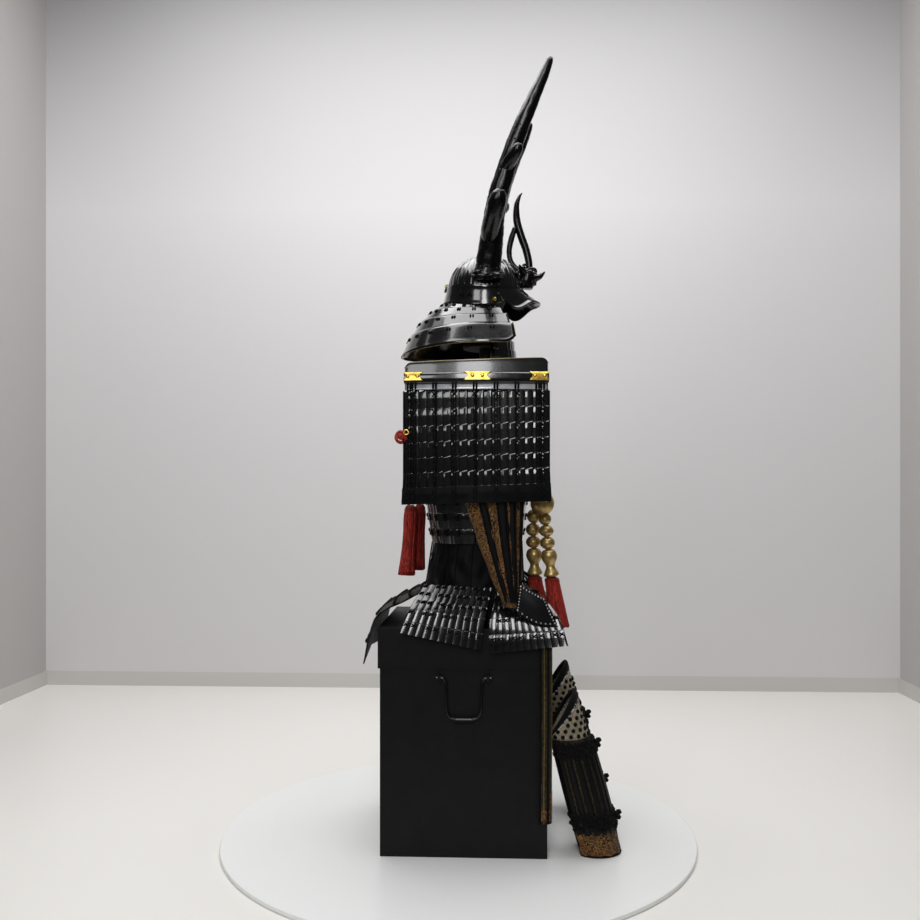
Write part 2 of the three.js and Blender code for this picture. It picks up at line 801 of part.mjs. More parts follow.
// Front crest: beast head with two long horns rising from brow and nape
const headRings = [
  [0, -166, 1457.6, 20, 14],
  [0, -166, 1464, 22, 16],
  [0, -163, 1476, 25, 20],
  [0, -166, 1490, 25, 21],
  [0, -166, 1502, 20, 16],
  [0, -164, 1510, 10, 8],
];
const snout = [
  [0, -160, 1480, 17, 14],
  [0, -178, 1484, 16, 12],
  [0, -196, 1488, 12, 8],
  [0, -203, 1493, 7, 6],
  [0, -212, 1502, 2, 2],
];
const jaw = [
  [0, -164, 1469, 14, 7],
  [0, -176, 1468, 12, 6],
  [0, -189, 1470, 8, 4],
];
const HORN = [
  [0, -166, 1500, 9],
  [0, -170, 1520, 9.5],
  [0, -162, 1560, 10],
  [0, -148, 1600, 10.5],
  [0, -137, 1640, 10],
  [0, -136, 1680, 7.5],
  [0, -143, 1705, 4.5],
  [0, -151, 1716, 1.5],
];
const HORN_REAR = [
  [0, -160, 1502, 7],
  [0, -136, 1512, 7],
  [0, -120, 1532, 7],
  [0, -116, 1560, 7.5],
  [0, -122, 1592, 8],
  [0, -132, 1622, 7],
];
const ear = (side) => [
  [side * 16, -158, 1490, 9, 6],
  [side * 30, -150, 1500, 8, 5],
  [side * 40, -142, 1512, 2, 2],
];
const crest = scribed(join([
  sweep(headRings, 10, V(1, 0, 0)),
  sweep(snout, 8, V(1, 0, 0)),
  sweep(jaw, 8, V(1, 0, 0)),
  sweep(ear(1), 6, V(0, 1, 0)),
  sweep(ear(-1), 6, V(0, 1, 0)),
  sweep(HORN, 8, V(1, 0, 0)),
  sweep(HORN_REAR, 7, V(1, 0, 0)),
]));
add("crest_beast", crest, LACQUER, 0.3, 0.1);

// Throat guard round the neck
const throatRows = lames([1312, 1286, 1262, 1236], LAME_STEP);
add(
  "throat_guard",
  wall({
    at: (u, v) => {
      const flare = (1312 - v) / 76;
      return V(mix(70, 84, flare) * Math.sin(rad(u)), -58 - mix(66, 80, flare) * Math.cos(rad(u)), v);
    },
    us: steps(-84, 84, 8),
    vs: throatRows.vs,
    thick: 2.4,
    from: V(0, -58, 1275),
    raise: (u, v) => throatRows.raise(v),
  }),
  LACQUER,
  0.25,
  0.1,
);

// Bead string: loop over the left shoulder, ball, two hanging strands and their tassels
const loopPoints = [
  [-118, -190, 917.6],
  [-62, -190, 960],
  [0, -192, 1010],
  [58, -189, 1062],
  [112, -170.8, 1120],
  [132, -130, 1190],
  [136, -60, 1236],
  [134, 10, 1236],
  [122, 80, 1200],
  [82, 128, 1140],
  [20, 140, 1080],
  [-50, 140, 1010],
  [-112, 122, 950],
  [-172, 72, 915],
  [-193, 0, 905],
  [-193, -80, 905],
  [-168, -150, 912],
];
const loopCurve = new THREE.CatmullRomCurve3(loopPoints.map((p) => V(...p)), true, "centripetal");
const LOOP_BEADS = 38;
const beadRings = [];
for (let k = 0; k < LOOP_BEADS; k++) {
  for (const [part, radius] of [[0, 4.5], [0.5, BEAD_RADIUS]]) {
    const t = (k + part) / LOOP_BEADS;
    const centre = loopCurve.getPointAt(t);
    const tangent = loopCurve.getTangentAt(t);
    const away = V(centre.x, centre.y + 30, 0.25 * (centre.z - 1050));
    const one = away.addScaledVector(tangent, -away.dot(tangent)).normalize();
    const two = V(0, 0, 0).crossVectors(tangent, one);
    beadRings.push(
      Array.from({ length: 6 }, (_, i) => {
        const turn = (2 * Math.PI * i) / 6;
        return centre
          .clone()
          .addScaledVector(one, radius * Math.cos(turn))
          .addScaledVector(two, radius * Math.sin(turn));
      }),
    );
  }
}
function closedLoop(rings) {
  const count = rings[0].length;
  const triangles = [];
  rings.forEach((_, j) => {
    const ahead = ((j + 1) % rings.length) * count;
    for (let i = 0; i < count; i++) {
      const next = (i + 1) % count;
      triangles.push([j * count + i, j * count + next, ahead + next], [j * count + i, ahead + next, ahead + i]);
    }
  });
  return body(rings.flat(), triangles);
}
add("bead_loop", closedLoop(beadRings), SATIN_GOLD, 0.45, 0.6);
const ballProfile = steps(-80, 80, 6).map((a) => [31 * Math.cos(rad(a)), 879 + 31 * Math.sin(rad(a))]);
add("bead_ball", turned(ballProfile, 14, -118, -200), SATIN_GOLD, 0.45, 0.6);
// Strand profile: rows of height below the top, radius and Y
function strand(x, rows) {
  return sweep(rows.map(([y, z, r]) => [x, y, z, r]), 8, V(1, 0, 0));
}
const ballRow = (y, z, r) => [
  [y, z + r * 0.94, r * 0.35],
  [y, z + r * 0.45, r * 0.92],
  [y, z - r * 0.45, r * 0.92],
  [y, z - r * 0.94, r * 0.35],
];
add(
  "bead_strand_1",
  strand(-92, [
    ...ballRow(-180, 845, 17),
    ...ballRow(-177, 808, 16.5),
    ...ballRow(-178, 776, 16),
    ...ballRow(-180, 741, 18),
    ...ballRow(-182, 707, 17),
  ]),
  SATIN_GOLD,
  0.45,
  0.6,
);
add(
  "bead_strand_2",
  strand(-118, [
    ...ballRow(-207, 836, 13),
    ...ballRow(-210, 806, 15.5),
    ...ballRow(-213, 775, 16),
    ...ballRow(-219, 741, 18),
    ...ballRow(-224, 707, 17.5),
  ]),
  SATIN_GOLD,
  0.45,
  0.6,
);
function tassel(path, count) {
  const rings = pathRings(path, count, V(1, 0, 0));
  rings.forEach((ring, k) => {
    const centre = V(path[k][0], path[k][1], path[k][2]);
    const depth = k < 3 ? 1 : 0.93;
    ring.forEach((p, i) => p.copy(centre.clone().lerp(p, i % 2 ? depth : 1)));
  });
  return loft(rings);
}
add(
  "bead_tassel_1",
  tassel([[-92, -182, 690.6, 7], [-92, -182, 683, 13], [-92, -184, 674, 14], [-92, -190, 640, 16], [-92, -197, 600, 17]], 16),
  RED,
  0.9,
  0,
);
add(
  "bead_tassel_2",
  tassel([[-118, -224, 689.3, 7], [-118, -225, 682, 13], [-118, -227, 672, 14], [-118, -236, 620, 17], [-118, -247, 560, 18]], 16),
  RED,
  0.9,
  0,
);

// Rear bow with its two tassels
function ringLoop(cx, cz, rx, rz, y, wire) {
  const rings = steps(0, 324, 9).map((a) => {
    const out = V(Math.cos(rad(a)) / rx, 0, Math.sin(rad(a)) / rz).normalize();
    const centre = V(cx + rx * Math.cos(rad(a)), y, cz + rz * Math.sin(rad(a)));
    return Array.from({ length: 6 }, (_, i) => {
      const turn = (2 * Math.PI * i) / 6;
      return centre.clone().addScaledVector(out, wire * Math.cos(turn)).add(V(0, wire * Math.sin(turn), 0));
    });
  });
  return closedLoop(rings);
}
const BOW_Y = 117.2;
const bow = join([
  ringLoop(-34, 1012, 26, 15, BOW_Y, 5),
  ringLoop(34, 1012, 26, 15, BOW_Y, 5),
  ringLoop(0, 1048, 13, 30, BOW_Y, 5),
  box(-12, 12, BOW_Y - 8, BOW_Y + 8, 998, 1026),
  sweep([[-8, BOW_Y, 1004, 5], [-14, 130, 960, 5], [-20, 150, 900, 5], [-20, 155, 873, 5]], 6, V(1, 0, 0)),
  sweep([[8, BOW_Y, 1004, 5], [16, 122, 960, 5], [24, 130, 900, 5], [24, 131, 873, 5]], 6, V(1, 0, 0)),
]);
add("rear_bow", bow, RED, 0.9, 0);
add(
  "rear_tassel_1",
  tassel([[-20, 155, 871.4, 9], [-20, 155, 862, 15], [-20, 156, 846, 16], [-20, 160, 770, 22], [-20, 165, 684, 24]], 16),
  RED,
  0.9,
  0,
);
add(
  "rear_tassel_2",
  tassel([[24, 131, 872.2, 9], [24, 131, 862, 14], [24, 132, 846, 15], [24, 134, 770, 18], [24, 137, 694, 20]], 16),
  RED,
  0.9,
  0,
);

// Thigh apron: two cloth panels laid on the lid and hanging down the chest's front
const apronPath = [
  [-180, LID_TOP + GAP],
  [-197, LID_TOP + GAP],
  [-LID_HALF_Y - GAP, LID_TOP + GAP],
  [-LID_HALF_Y - GAP, 530],
  [-LID_HALF_Y - GAP, 470],
  [-LID_HALF_Y - GAP, 380],
  [-LID_HALF_Y - GAP, 290],
  [-LID_HALF_Y - GAP, 212],
  [-LID_HALF_Y - GAP, 150],
  [-LID_HALF_Y - GAP, 91],
];
function apronAt(u, v) {
  const k = clamp(Math.floor(v), 0, apronPath.length - 2);
  const t = v - k;
  return V(u, mix(apronPath[k][0], apronPath[k + 1][0], t), mix(apronPath[k][1], apronPath[k + 1][1], t));
}
function apronPanel() {
  const g = wall({
    at: apronAt,
    us: steps(-186, -6, 8),
    vs: apronPath.map((_, k) => k),
    thick: 4.2,
    from: V(-96, 0, 300),
    raise: (u, v) => (v > 2.5 ? Math.round((u + 6) / 22.5) % 2 ? 1.4 : 0 : 0),
  });
  return g;
}
pair("haidate", apronPanel(), BROCADE, 0.8, 0);

// Shin guards: open-backed pipes leaning towards the apron, with a knee guard on top of each
const SHIN_TOP = 290;
const SHIN_HALF_X = 50;
const SHIN_HALF_Y = 58;
const SHIN_OPEN = 132;
const shinMidY = (z) => -339.4 + 0.264 * z;
function shin(mid, ahead) {
  return wall({
    at: (u, v) => {
      const swell = 1 + 0.07 * Math.sin(Math.PI * clamp(v / SHIN_TOP, 0, 1));
      const x = mid + SHIN_HALF_X * swell * Math.sin(rad(u));
      return V(x, shinMidY(v) + ahead - SHIN_HALF_Y * swell * Math.cos(rad(u)), v + GAP);
    },
    us: steps(-SHIN_OPEN, SHIN_OPEN, 14),
    vs: steps(0, SHIN_TOP, 4),
    thick: 3,
    from: V(mid, -320, 145),
    raise: (u) => (Math.round((u + SHIN_OPEN) / 18.86) % 2 ? 1.8 : 0),
  });
}
function knee(mid, top, ahead) {
  return wall({
    at: (u, v) => {
      const fall = 100 * ((1 - Math.cos(rad(u))) / 1.67);
      const z = mix(SHIN_TOP + 1.5, top - fall, v);
      const y = shinMidY(z) + ahead - mix(54, 50, v) * Math.cos(rad(u));
      return V(mid + mix(SHIN_HALF_X, SHIN_HALF_X + 5, v) * Math.sin(rad(u)), y, z);
    },
    us: steps(-SHIN_OPEN, SHIN_OPEN, 12),
    vs: [0, 0.12, 0.88, 1],
    thick: 4,
    from: V(mid, -270, 330),
    raise: (u, v) => (v > 0.1 && v < 0.9 ? 1 : 0),
  });
}
add("suneate_right", shin(-148, 3.4), BROCADE, 0.6, 0);
add("suneate_left", shin(148, 0), BROCADE, 0.6, 0);
add("knee_guard_right", knee(-148, 403, 3.4), QUILT, 0.9, 0);
add("knee_guard_left", knee(148, 421, 0), QUILT, 0.9, 0);

export default armour;
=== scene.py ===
import math
import bpy
import numpy as np
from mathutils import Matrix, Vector, noise


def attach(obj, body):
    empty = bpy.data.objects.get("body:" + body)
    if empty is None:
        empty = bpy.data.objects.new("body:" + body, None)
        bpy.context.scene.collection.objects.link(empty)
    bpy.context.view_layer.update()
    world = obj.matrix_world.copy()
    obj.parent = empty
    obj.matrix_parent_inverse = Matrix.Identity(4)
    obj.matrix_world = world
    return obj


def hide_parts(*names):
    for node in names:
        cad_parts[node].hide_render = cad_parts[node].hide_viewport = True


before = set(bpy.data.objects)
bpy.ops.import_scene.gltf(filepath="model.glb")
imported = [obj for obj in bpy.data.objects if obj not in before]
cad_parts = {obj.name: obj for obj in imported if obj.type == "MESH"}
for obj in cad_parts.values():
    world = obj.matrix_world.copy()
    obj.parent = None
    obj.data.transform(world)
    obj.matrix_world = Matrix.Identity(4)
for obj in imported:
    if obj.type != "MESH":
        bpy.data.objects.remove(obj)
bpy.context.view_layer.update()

SUIT = "suit_and_chest"
MM = 0.001
rng = np.random.default_rng(7)
scene = bpy.context.scene

# Objects and the camera at the photo's place
def add_object(name, data):
    ob = bpy.data.objects.new(name, data)
    scene.collection.objects.link(ob)
    return ob


def add_mesh(name, points, faces, mat):
    me = bpy.data.meshes.new(name)
    me.from_pydata(points, [], faces)
    me.update()
    me.materials.append(mat)
    return add_object(name, me)


def aim(ob, direction):
    ob.rotation_mode = "QUATERNION"
    ob.rotation_quaternion = Vector(direction).to_track_quat("-Z", "Y")


EYE = (-2.4922, -0.0916, 0.913)
CAMERA_TURN = math.radians(2.5)
cam_data = bpy.data.cameras.new("camera")
cam = add_object("camera", cam_data)
scene.camera = cam
cam.location = EYE
aim(cam, (math.cos(CAMERA_TURN), math.sin(CAMERA_TURN), 0))
cam_data.sensor_width = 36
cam_data.lens = 36
cam_data.shift_y = 0.0326


# Materials: short ways to add and feed shader nodes
class Nodes:
    def __init__(self, tree):
        self.tree = tree

    def feed(self, socket, value):
        if isinstance(value, bpy.types.NodeSocket):
            self.tree.links.new(value, socket)
        else:
            socket.default_value = value

    def node(self, kind, **inputs):
        n = self.tree.nodes.new("ShaderNode" + kind)
        self.set(n, **inputs)
        return n

    def set(self, n, **inputs):
        """Feed a node's inputs; an underscore stands for a space in an input's name."""
        for key, value in inputs.items():
            self.feed(n.inputs[key.replace("_", " ")], value)

    def maths(self, a, b, op="ADD"):
        n = self.node("Math")
        n.operation = op
        self.feed(n.inputs[0], a)
        self.feed(n.inputs[1], b)
        return n.outputs[0]

    def times(self, a, b):
        return self.maths(a, b, "MULTIPLY")

    def remap(self, fac, lo, hi):
        return self.node("MapRange", Value=fac, To_Min=lo, To_Max=hi).outputs[0]

    def ramp(self, fac, *stops):
        n = self.node("ValToRGB", Fac=fac)
        points = n.color_ramp.elements
        while len(points) < len(stops):
            points.new(0.5)
        for point, (position, color) in zip(points, stops):
            point.position = position
            point.color = (*color, 1)
        return n.outputs[0]

    def mix(self, fac, a, b):
        n = self.node("Mix")
        n.data_type = "RGBA"
        for k, value in ((0, fac), (6, a), (7, b)):
            self.feed(n.inputs[k], (*value, 1) if isinstance(value, tuple) else value)
        return n.outputs[2]


class Look(Nodes):
    """A material with one Principled node and patterns in object space."""

    def __init__(self, name, scale=(1, 1, 1)):
        self.mat = bpy.data.materials.new(name)
        self.mat.use_nodes = True
        super().__init__(self.mat.node_tree)
        self.tree.nodes.clear()
        self.bsdf = self.node("BsdfPrincipled")
        self.out = self.node("OutputMaterial", Surface=self.bsdf.outputs[0])
        place = self.node("TexCoord").outputs["Object"]
        self.at = self.node("Mapping", Vector=place, Scale=scale).outputs[0]

    def noise(self, scale, detail=4.0, rough=0.55, distort=0.0):
        n = self.node(
            "TexNoise", Vector=self.at, Scale=scale, Detail=detail, Roughness=rough, Distortion=distort
        )
        return n.outputs[0]

    def wave(self, scale, axis, distort=0.0, detail=2.0, detail_scale=1.0):
        n = self.node("TexWave", Vector=self.at, Scale=scale, Distortion=distort, Detail=detail)
        n.bands_direction = axis
        self.set(n, Detail_Scale=detail_scale)
        return n.outputs["Fac"]

    def weave(self, scale):
        return self.times(self.wave(scale, "X"), self.wave(scale, "Z"))

    def cells(self, scale):
        return self.node("TexVoronoi", Vector=self.at, Scale=scale).outputs["Distance"]

    def finish(self, color, rough, height=None, strength=0.3, depth=0.001, **inputs):
        self.set(self.bsdf, Base_Color=color, Roughness=rough, **inputs)
        if height:
            bump = self.node("Bump", Strength=strength, Distance=depth, Height=height)
            self.set(self.bsdf, Normal=bump.outputs[0])
        return self.mat


BLACK, WHITE = (0, 0, 0), (1, 1, 1)


def lacquer(name, dark, light, rough, coat, grain, strength, spec):
    m = Look(name)
    broad = m.noise(grain)
    height = m.maths(broad, m.times(m.noise(grain * 14, 2), 0.25))
    color = m.ramp(broad, (0.35, dark), (0.72, light))
    rough = m.remap(m.noise(grain * 0.6), *rough)
    coats = {"Coat_Weight": coat, "Coat_Roughness": 0.08}
    return m.finish(color, rough, height, strength, 0.0006, Specular_IOR_Level=spec, **coats)


# Each row: dark and light colour, roughness from and to, coat, grain, bump strength, specular level
M_LACQUER = lacquer(
    "black_lacquer", (0.0008, 0.0009, 0.0012), (0.0026, 0.003, 0.004), (0.12, 0.26), 1.0, 55, 0.12, 0.6
)
# The shield's top plate is black lacquer like the rest; its lighter grey base is painted sheen for the grey
# reflection along its glossy curve.
M_PLATE_SHEEN = lacquer(
    "shield_top_lacquer_painted_sheen", (0.004, 0.0045, 0.005), (0.012, 0.013, 0.0145), (0.16, 0.3), 0.7, 40, 0.08, 0.6
)
M_CHEST = lacquer(
    "chest_lacquer", (0.0008, 0.001, 0.001), (0.0022, 0.0026, 0.0025), (0.42, 0.6), 0.0, 24, 0.2, 0.2
)
M_HORN = lacquer(
    "black_horn", (0.0006, 0.0006, 0.0008), (0.0022, 0.0022, 0.0028), (0.16, 0.36), 0.25, 90, 0.5, 0.3
)
M_IRON = lacquer(
    "dark_iron", (0.0008, 0.0008, 0.001), (0.003, 0.003, 0.0035), (0.24, 0.4), 0.2, 80, 0.3, 0.3
)
M_DULL = lacquer(
    "dull_black_lacquer", (0.0008, 0.0009, 0.001), (0.003, 0.0032, 0.0036), (0.4, 0.56), 0.0, 60, 0.3,
    0.14
)
# The lip strip under the bar is black lacquer; its light grey base is painted reflection of the ceiling
# light on the upturned strip.
M_LIP_PAINTED_GLINT = lacquer("glossy_lip_painted_reflection", (0.3, 0.31, 0.33), (0.5, 0.51, 0.53), (0.1, 0.2), 1.0, 40, 0.1, 0.8)


def metal(name, dark, light, rough=(0.2, 0.42), grain=120, metallic=1.0):
    m = Look(name)
    tone = m.noise(grain)
    color = m.ramp(tone, (0.3, dark), (0.7, light))
    rough = m.remap(m.noise(grain * 0.4), *rough)
    return m.finish(color, rough, tone, 0.15, 0.0005, Metallic=metallic)


M_GOLD = metal("gilt_metal", (0.62, 0.36, 0.055), (0.95, 0.66, 0.16))
M_GOLD_DIM = metal("dull_gilt", (0.13, 0.09, 0.03), (0.3, 0.22, 0.09), (0.35, 0.55))
M_STEEL = metal("steel_studs", (0.4, 0.4, 0.42), (0.7, 0.7, 0.72))
M_BEAD = metal("satin_gold_beads", (0.4, 0.27, 0.1), (0.6, 0.44, 0.18), (0.3, 0.46), 60, 0.75)


def braid(name, dark, light, scale, sheen, rough=0.75, strength=0.6, axis="DIAGONAL", spec=0.12):
    m = Look(name)
    tone = m.noise(160)
    height = m.maths(m.times(m.wave(scale, axis, 2.0), 0.6), m.times(tone, 0.5))
    color = m.ramp(height, (0.2, dark), (0.85, light))
    rough = m.remap(tone, rough - 0.1, rough + 0.12)
    return m.finish(color, rough, height, strength, 0.0008, Sheen_Weight=sheen, Specular_IOR_Level=spec)


M_BRAID = braid("black_braid", (0.0006, 0.0006, 0.0008), (0.0036, 0.0036, 0.0042), 420, 0.02)
M_SATIN = braid(
    "black_satin", (0.0006, 0.0006, 0.001), (0.0028, 0.003, 0.0042), 700, 0.03, 0.5, 0.2, spec=0.08
)
M_VELVET = braid("black_velvet", (0.0006, 0.0006, 0.0006), (0.0032, 0.0032, 0.0034), 500, 0.03, 0.9, 0.8)
M_RED = braid("red_silk", (0.09, 0.003, 0.0015), (0.42, 0.025, 0.012), 260, 0.04, 0.6, 0.5, "X", 0.3)
M_REDCAP = braid("red_cap", (0.12, 0.005, 0.003), (0.36, 0.024, 0.012), 900, 0.04, 0.6, 0.9, "Z", 0.3)


def brocade(name, dark, gold, warm, scale):
    m = Look(name)
    bands = m.maths(m.times(m.noise(scale, 3, 0.6, 3.2), 6.0), 1.0, "FRACT")
    line = m.ramp(bands, (0.0, WHITE), (0.2, BLACK), (0.66, BLACK), (0.84, WHITE))
    ground = m.mix(m.ramp(m.noise(scale * 0.5, 2), (0.45, BLACK), (0.6, WHITE)), dark, warm)
    color, rough = m.mix(line, ground, gold), m.remap(line, 0.85, 0.5)
    height = m.maths(m.weave(700), line)
    return m.finish(color, rough, height, 0.5, 0.0007, Sheen_Weight=0.04, Specular_IOR_Level=0.2)


M_BROCADE = brocade("brocade", (0.006, 0.003, 0.0015), (0.27, 0.135, 0.038), (0.045, 0.011, 0.004), 36)
M_BROCADE_DIM = brocade(
    "brocade_dim", (0.0016, 0.0015, 0.0012), (0.075, 0.055, 0.02), (0.006, 0.003, 0.0015), 60
)


def quilt_mat():
    m = Look("beige_quilt")
    cells, tone = m.cells(95), m.noise(30)
    base = m.mix(tone, (0.27, 0.23, 0.15), (0.42, 0.37, 0.26))
    seams = m.times(m.ramp(cells, (0.25, BLACK), (0.5, WHITE)), 0.6)
    color, rough = m.mix(seams, base, (0.16, 0.13, 0.08)), m.remap(tone, 0.75, 0.95)
    return m.finish(color, rough, m.maths(m.weave(900), cells), 0.5, 0.0008, Sheen_Weight=0.2)


def checker_trim():
    m = Look("chequer_trim")
    tone = m.noise(200)
    white = m.mix(tone, (0.45, 0.44, 0.42), (0.7, 0.69, 0.66))
    squares = m.node("TexChecker", Vector=m.at, Scale=130).outputs["Fac"]
    return m.finish(m.mix(squares, (0.01, 0.01, 0.012), white), m.remap(tone, 0.7, 0.9), tone, 0.4, 0.0005)


def plain_wood():
    m = Look("plain_wood", (1, 1, 0.12))
    tone = m.noise(90)
    grain = m.maths(m.times(m.wave(30, "X", 4.0, 3.0, 1.5), 0.6), m.times(tone, 0.4))
    color = m.ramp(grain, (0.2, (0.008, 0.005, 0.003)), (0.8, (0.024, 0.015, 0.009)))
    return m.finish(color, m.remap(tone, 0.5, 0.7), grain, 0.2, 0.0006)


M_QUILT = quilt_mat()
M_CHECK = checker_trim()
M_WOOD = plain_wood()
SLOTS = {
    "black_lacquer": [M_LACQUER, M_PLATE_SHEEN, M_DULL, M_IRON, M_LIP_PAINTED_GLINT],
    "chest_lacquer": [M_CHEST],
    "black_horn": [M_HORN],
    "plain_wood": [M_WOOD],
    "black_cloth": [M_BRAID, M_SATIN, M_VELVET],
    "brocade": [M_BROCADE, M_BROCADE_DIM],
    "quilting": [M_QUILT, M_CHECK],
    "red_silk": [M_RED, M_REDCAP],
    "satin_gold_beads": [M_BEAD],
    "gilt_metal": [M_GOLD, M_GOLD_DIM, M_STEEL],
}
SLOT_OF = {m.name: name for name, mats in SLOTS.items() for m in mats}


# Mesh helpers, all sizes in millimetres
def make(name, verts, faces, mat, replaces=None, split=None):
    """A piece of the suit; it may stand for a solid and have hard edges past split degrees."""
    ob = add_mesh(name, (np.asarray(verts, float) * MM).tolist(), faces, mat)
    ob.data.polygons.foreach_set("use_smooth", [True] * len(ob.data.polygons))
    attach(ob, SUIT)
    if split:
        sharp_by_angle(ob, split)
    if replaces:
        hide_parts(replaces)
    return ob


def mirrored(verts, faces):
    v = np.array(verts, float)
    v[:, 0] *= -1
    return v, [tuple(reversed(f)) for f in faces]


def both(name, verts, faces, mat, replaces=None, split=None):
    """The same piece on the right and, mirrored, on the left."""
    sides = (("right", (verts, faces)), ("left", mirrored(verts, faces)))
    return [
        make(f"{name}_{word}", v, f, mat, replaces and f"{replaces}_{word}", split) for word,
        (v, f) in sides
    ]


class Batch:
    """Many closed shapes gathered into one piece."""

    def __init__(self):
        self.v, self.f, self.n = [], [], 0

    def add(self, verts, faces):
        verts = np.asarray(verts, float)
        self.v.append(verts)
        n = self.n
        self.f += [tuple(i + n for i in f) for f in faces]
        self.n += len(verts)

    def make(self, name, mat, replaces=None, split=None):
        return make(name, np.concatenate(self.v), self.f, mat, replaces, split)

    def both(self, name, mat, replaces=None, split=None):
        return both(name, np.concatenate(self.v), self.f, mat, replaces, split)


def turn(count):
    """A whole turn in degrees, for the surfaces."""
    return np.linspace(0, 360, count, endpoint=False)


def circle(count):
    """A whole turn in radians."""
    return np.linspace(0, 2 * math.pi, count, endpoint=False)


def hoop(center, wide, high, count):
    """Points of an upright ring that faces sideways."""
    a = circle(count)
    return np.stack([0 * a, wide * np.cos(a), high * np.sin(a)], 1) + np.asarray(center, float)


def sharp_by_angle(ob, degrees):
    import bmesh

    bm = bmesh.new()
    bm.from_mesh(ob.data)
    limit = math.radians(degrees)
    for e in bm.edges:
        if len(e.link_faces) == 2 and e.calc_face_angle(0) > limit:
            e.smooth = False
    bm.to_mesh(ob.data)
    bm.free()


def shell(at, us, vs, thick, away, rise=None, lift=0.0, around=False):
    """Closed wall over at(u, v): plain inside, raised points outside."""
    U, W = np.meshgrid(np.asarray(us, float), np.asarray(vs, float))
    du = abs(us[1] - us[0]) * 0.02 + 1e-6
    dv = abs(vs[-1] - vs[0]) * 0.001 + 1e-6
    p = at(U, W)
    n = np.cross(at(U + du, W) - at(U - du, W), at(U, W + dv) - at(U, W - dv))
    n /= np.linalg.norm(n, axis=-1, keepdims=True) + 1e-12
    if (n * (p - np.asarray(away, float))).sum() < 0:
        n = -n
    r = rise(U, W) if rise else np.zeros(U.shape)
    inner = p + n * lift
    outer = p + n * (lift + thick + r)[..., None]
    nv, nu = U.shape
    verts = np.concatenate([inner.reshape(-1, 3), outer.reshape(-1, 3)])
    N = nu * nv
    f = []
    cols = nu if around else nu - 1

    def I(j, i):
        return j * nu + i % nu

    for j in range(nv - 1):
        for i in range(cols):
            a, b, c, d = I(j, i), I(j, i + 1), I(j + 1, i + 1), I(j + 1, i)
            f.append((a + N, b + N, c + N, d + N))
            f.append((a, d, c, b))
    for i in range(cols):
        a, b = I(0, i), I(0, i + 1)
        f.append((b + N, a + N, a, b))
        a, b = I(nv - 1, i), I(nv - 1, i + 1)
        f.append((a + N, b + N, b, a))
    if not around:
        for j in range(nv - 1):
            a, b = I(j, 0), I(j + 1, 0)
            f.append((a + N, b + N, b, a))
            a, b = I(j, nu - 1), I(j + 1, nu - 1)
            f.append((b + N, a + N, a, b))
    return verts, f


def surface_frame(at, u, v, away, du=0.5, dv=0.5):
    """Point, outward normal and unit directions along u and v."""
    u, v = np.float64(u), np.float64(v)
    p = at(u, v)
    a = at(u + du, v) - at(u - du, v)
    b = at(u, v + dv) - at(u, v - dv)
    n = np.cross(a, b)
    n /= np.linalg.norm(n)
    if np.dot(n, p - np.asarray(away, float)) < 0:
        n = -n
    return p, n, a / np.linalg.norm(a), b / np.linalg.norm(b)


def tube(points, radius, n=8, flat=1.0, side=None, closed=False):
    pts = np.asarray(points, float)
    k = len(pts)
    rad = np.broadcast_to(np.asarray(radius, float), (k,))
    if closed:
        tan = np.roll(pts, -1, 0) - np.roll(pts, 1, 0)
    else:
        tan = np.gradient(pts, axis=0)
    tan /= np.linalg.norm(tan, axis=1, keepdims=True) + 1e-12
    ref = np.array(side if side is not None else (0, 0, 1.0), float)
    if side is None and abs(tan[0] @ ref) > 0.9:
        ref = np.array((1.0, 0, 0))
    verts, one = [], ref
    ang = np.arange(n) * 2 * math.pi / n
    for i in range(k):
        if side is not None:
            one = ref
        one = one - tan[i] * (one @ tan[i])
        one = one / (np.linalg.norm(one) + 1e-12)
        two = np.cross(tan[i], one)
        verts.append(pts[i] + rad[i] * (np.cos(ang)[:, None] * one + flat * np.sin(ang)[:, None] * two))
    verts = np.concatenate(verts)
    f = []
    for i in range(k if closed else k - 1):
        j = (i + 1) % k
        for m in range(n):
            q = (m + 1) % n
            f.append((i * n + m, i * n + q, j * n + q, j * n + m))
    if not closed:
        f.append(tuple(range(n))[::-1])
        f.append(tuple((k - 1) * n + m for m in range(n)))
    return verts, f


def capsule(a, b, r, n=6, flat=1.0, side=None):
    a, b = np.asarray(a, float), np.asarray(b, float)
    d = b - a
    t = np.array([0, 0.12, 0.5, 0.88, 1.0])
    return tube(a + t[:, None] * d, r * np.array([0.35, 0.85, 1.0, 0.85, 0.35]), n, flat, side)


def ball(c, r, n=12, m=8, axes=(1, 1, 1)):
    a = np.linspace(-89, 89, m) * math.pi / 180
    pts = np.array([[0, 0, math.sin(x)] for x in a])
    v, f = tube(pts, np.cos(a), n, side=(1, 0, 0))
    return v * np.asarray(axes) * r + np.asarray(c, float), f


def turned(profile, n, c):
    """Rows of radius, z round a vertical axis through c."""
    pts = [(c[0], c[1], c[2] + z) for _, z in profile]
    return tube(pts, [r for r, _ in profile], n, side=(1, 0, 0))


def smooth_path(points, count, closed=False):
    """Catmull-Rom through rows of numbers."""
    p = np.asarray(points, float)
    if closed:
        p = np.vstack([p[-1], p, p[0], p[1]])
    else:
        p = np.vstack([2 * p[0] - p[1], p, 2 * p[-1] - p[-2]])
    segs = len(p) - 3
    out = []
    for s in np.linspace(0, segs, count, endpoint=not closed):
        k = min(int(s), segs - 1)
        t = s - k
        a, b, c, d = p[k : k + 4]
        out.append(
            0.5 * (
                2 * b + (c - a) * t + (2 * a - 5 * b + 4 * c - d) * t * t + (3 * b - a - 3 * c + d) * t**3
            )
        )
    return np.array(out)


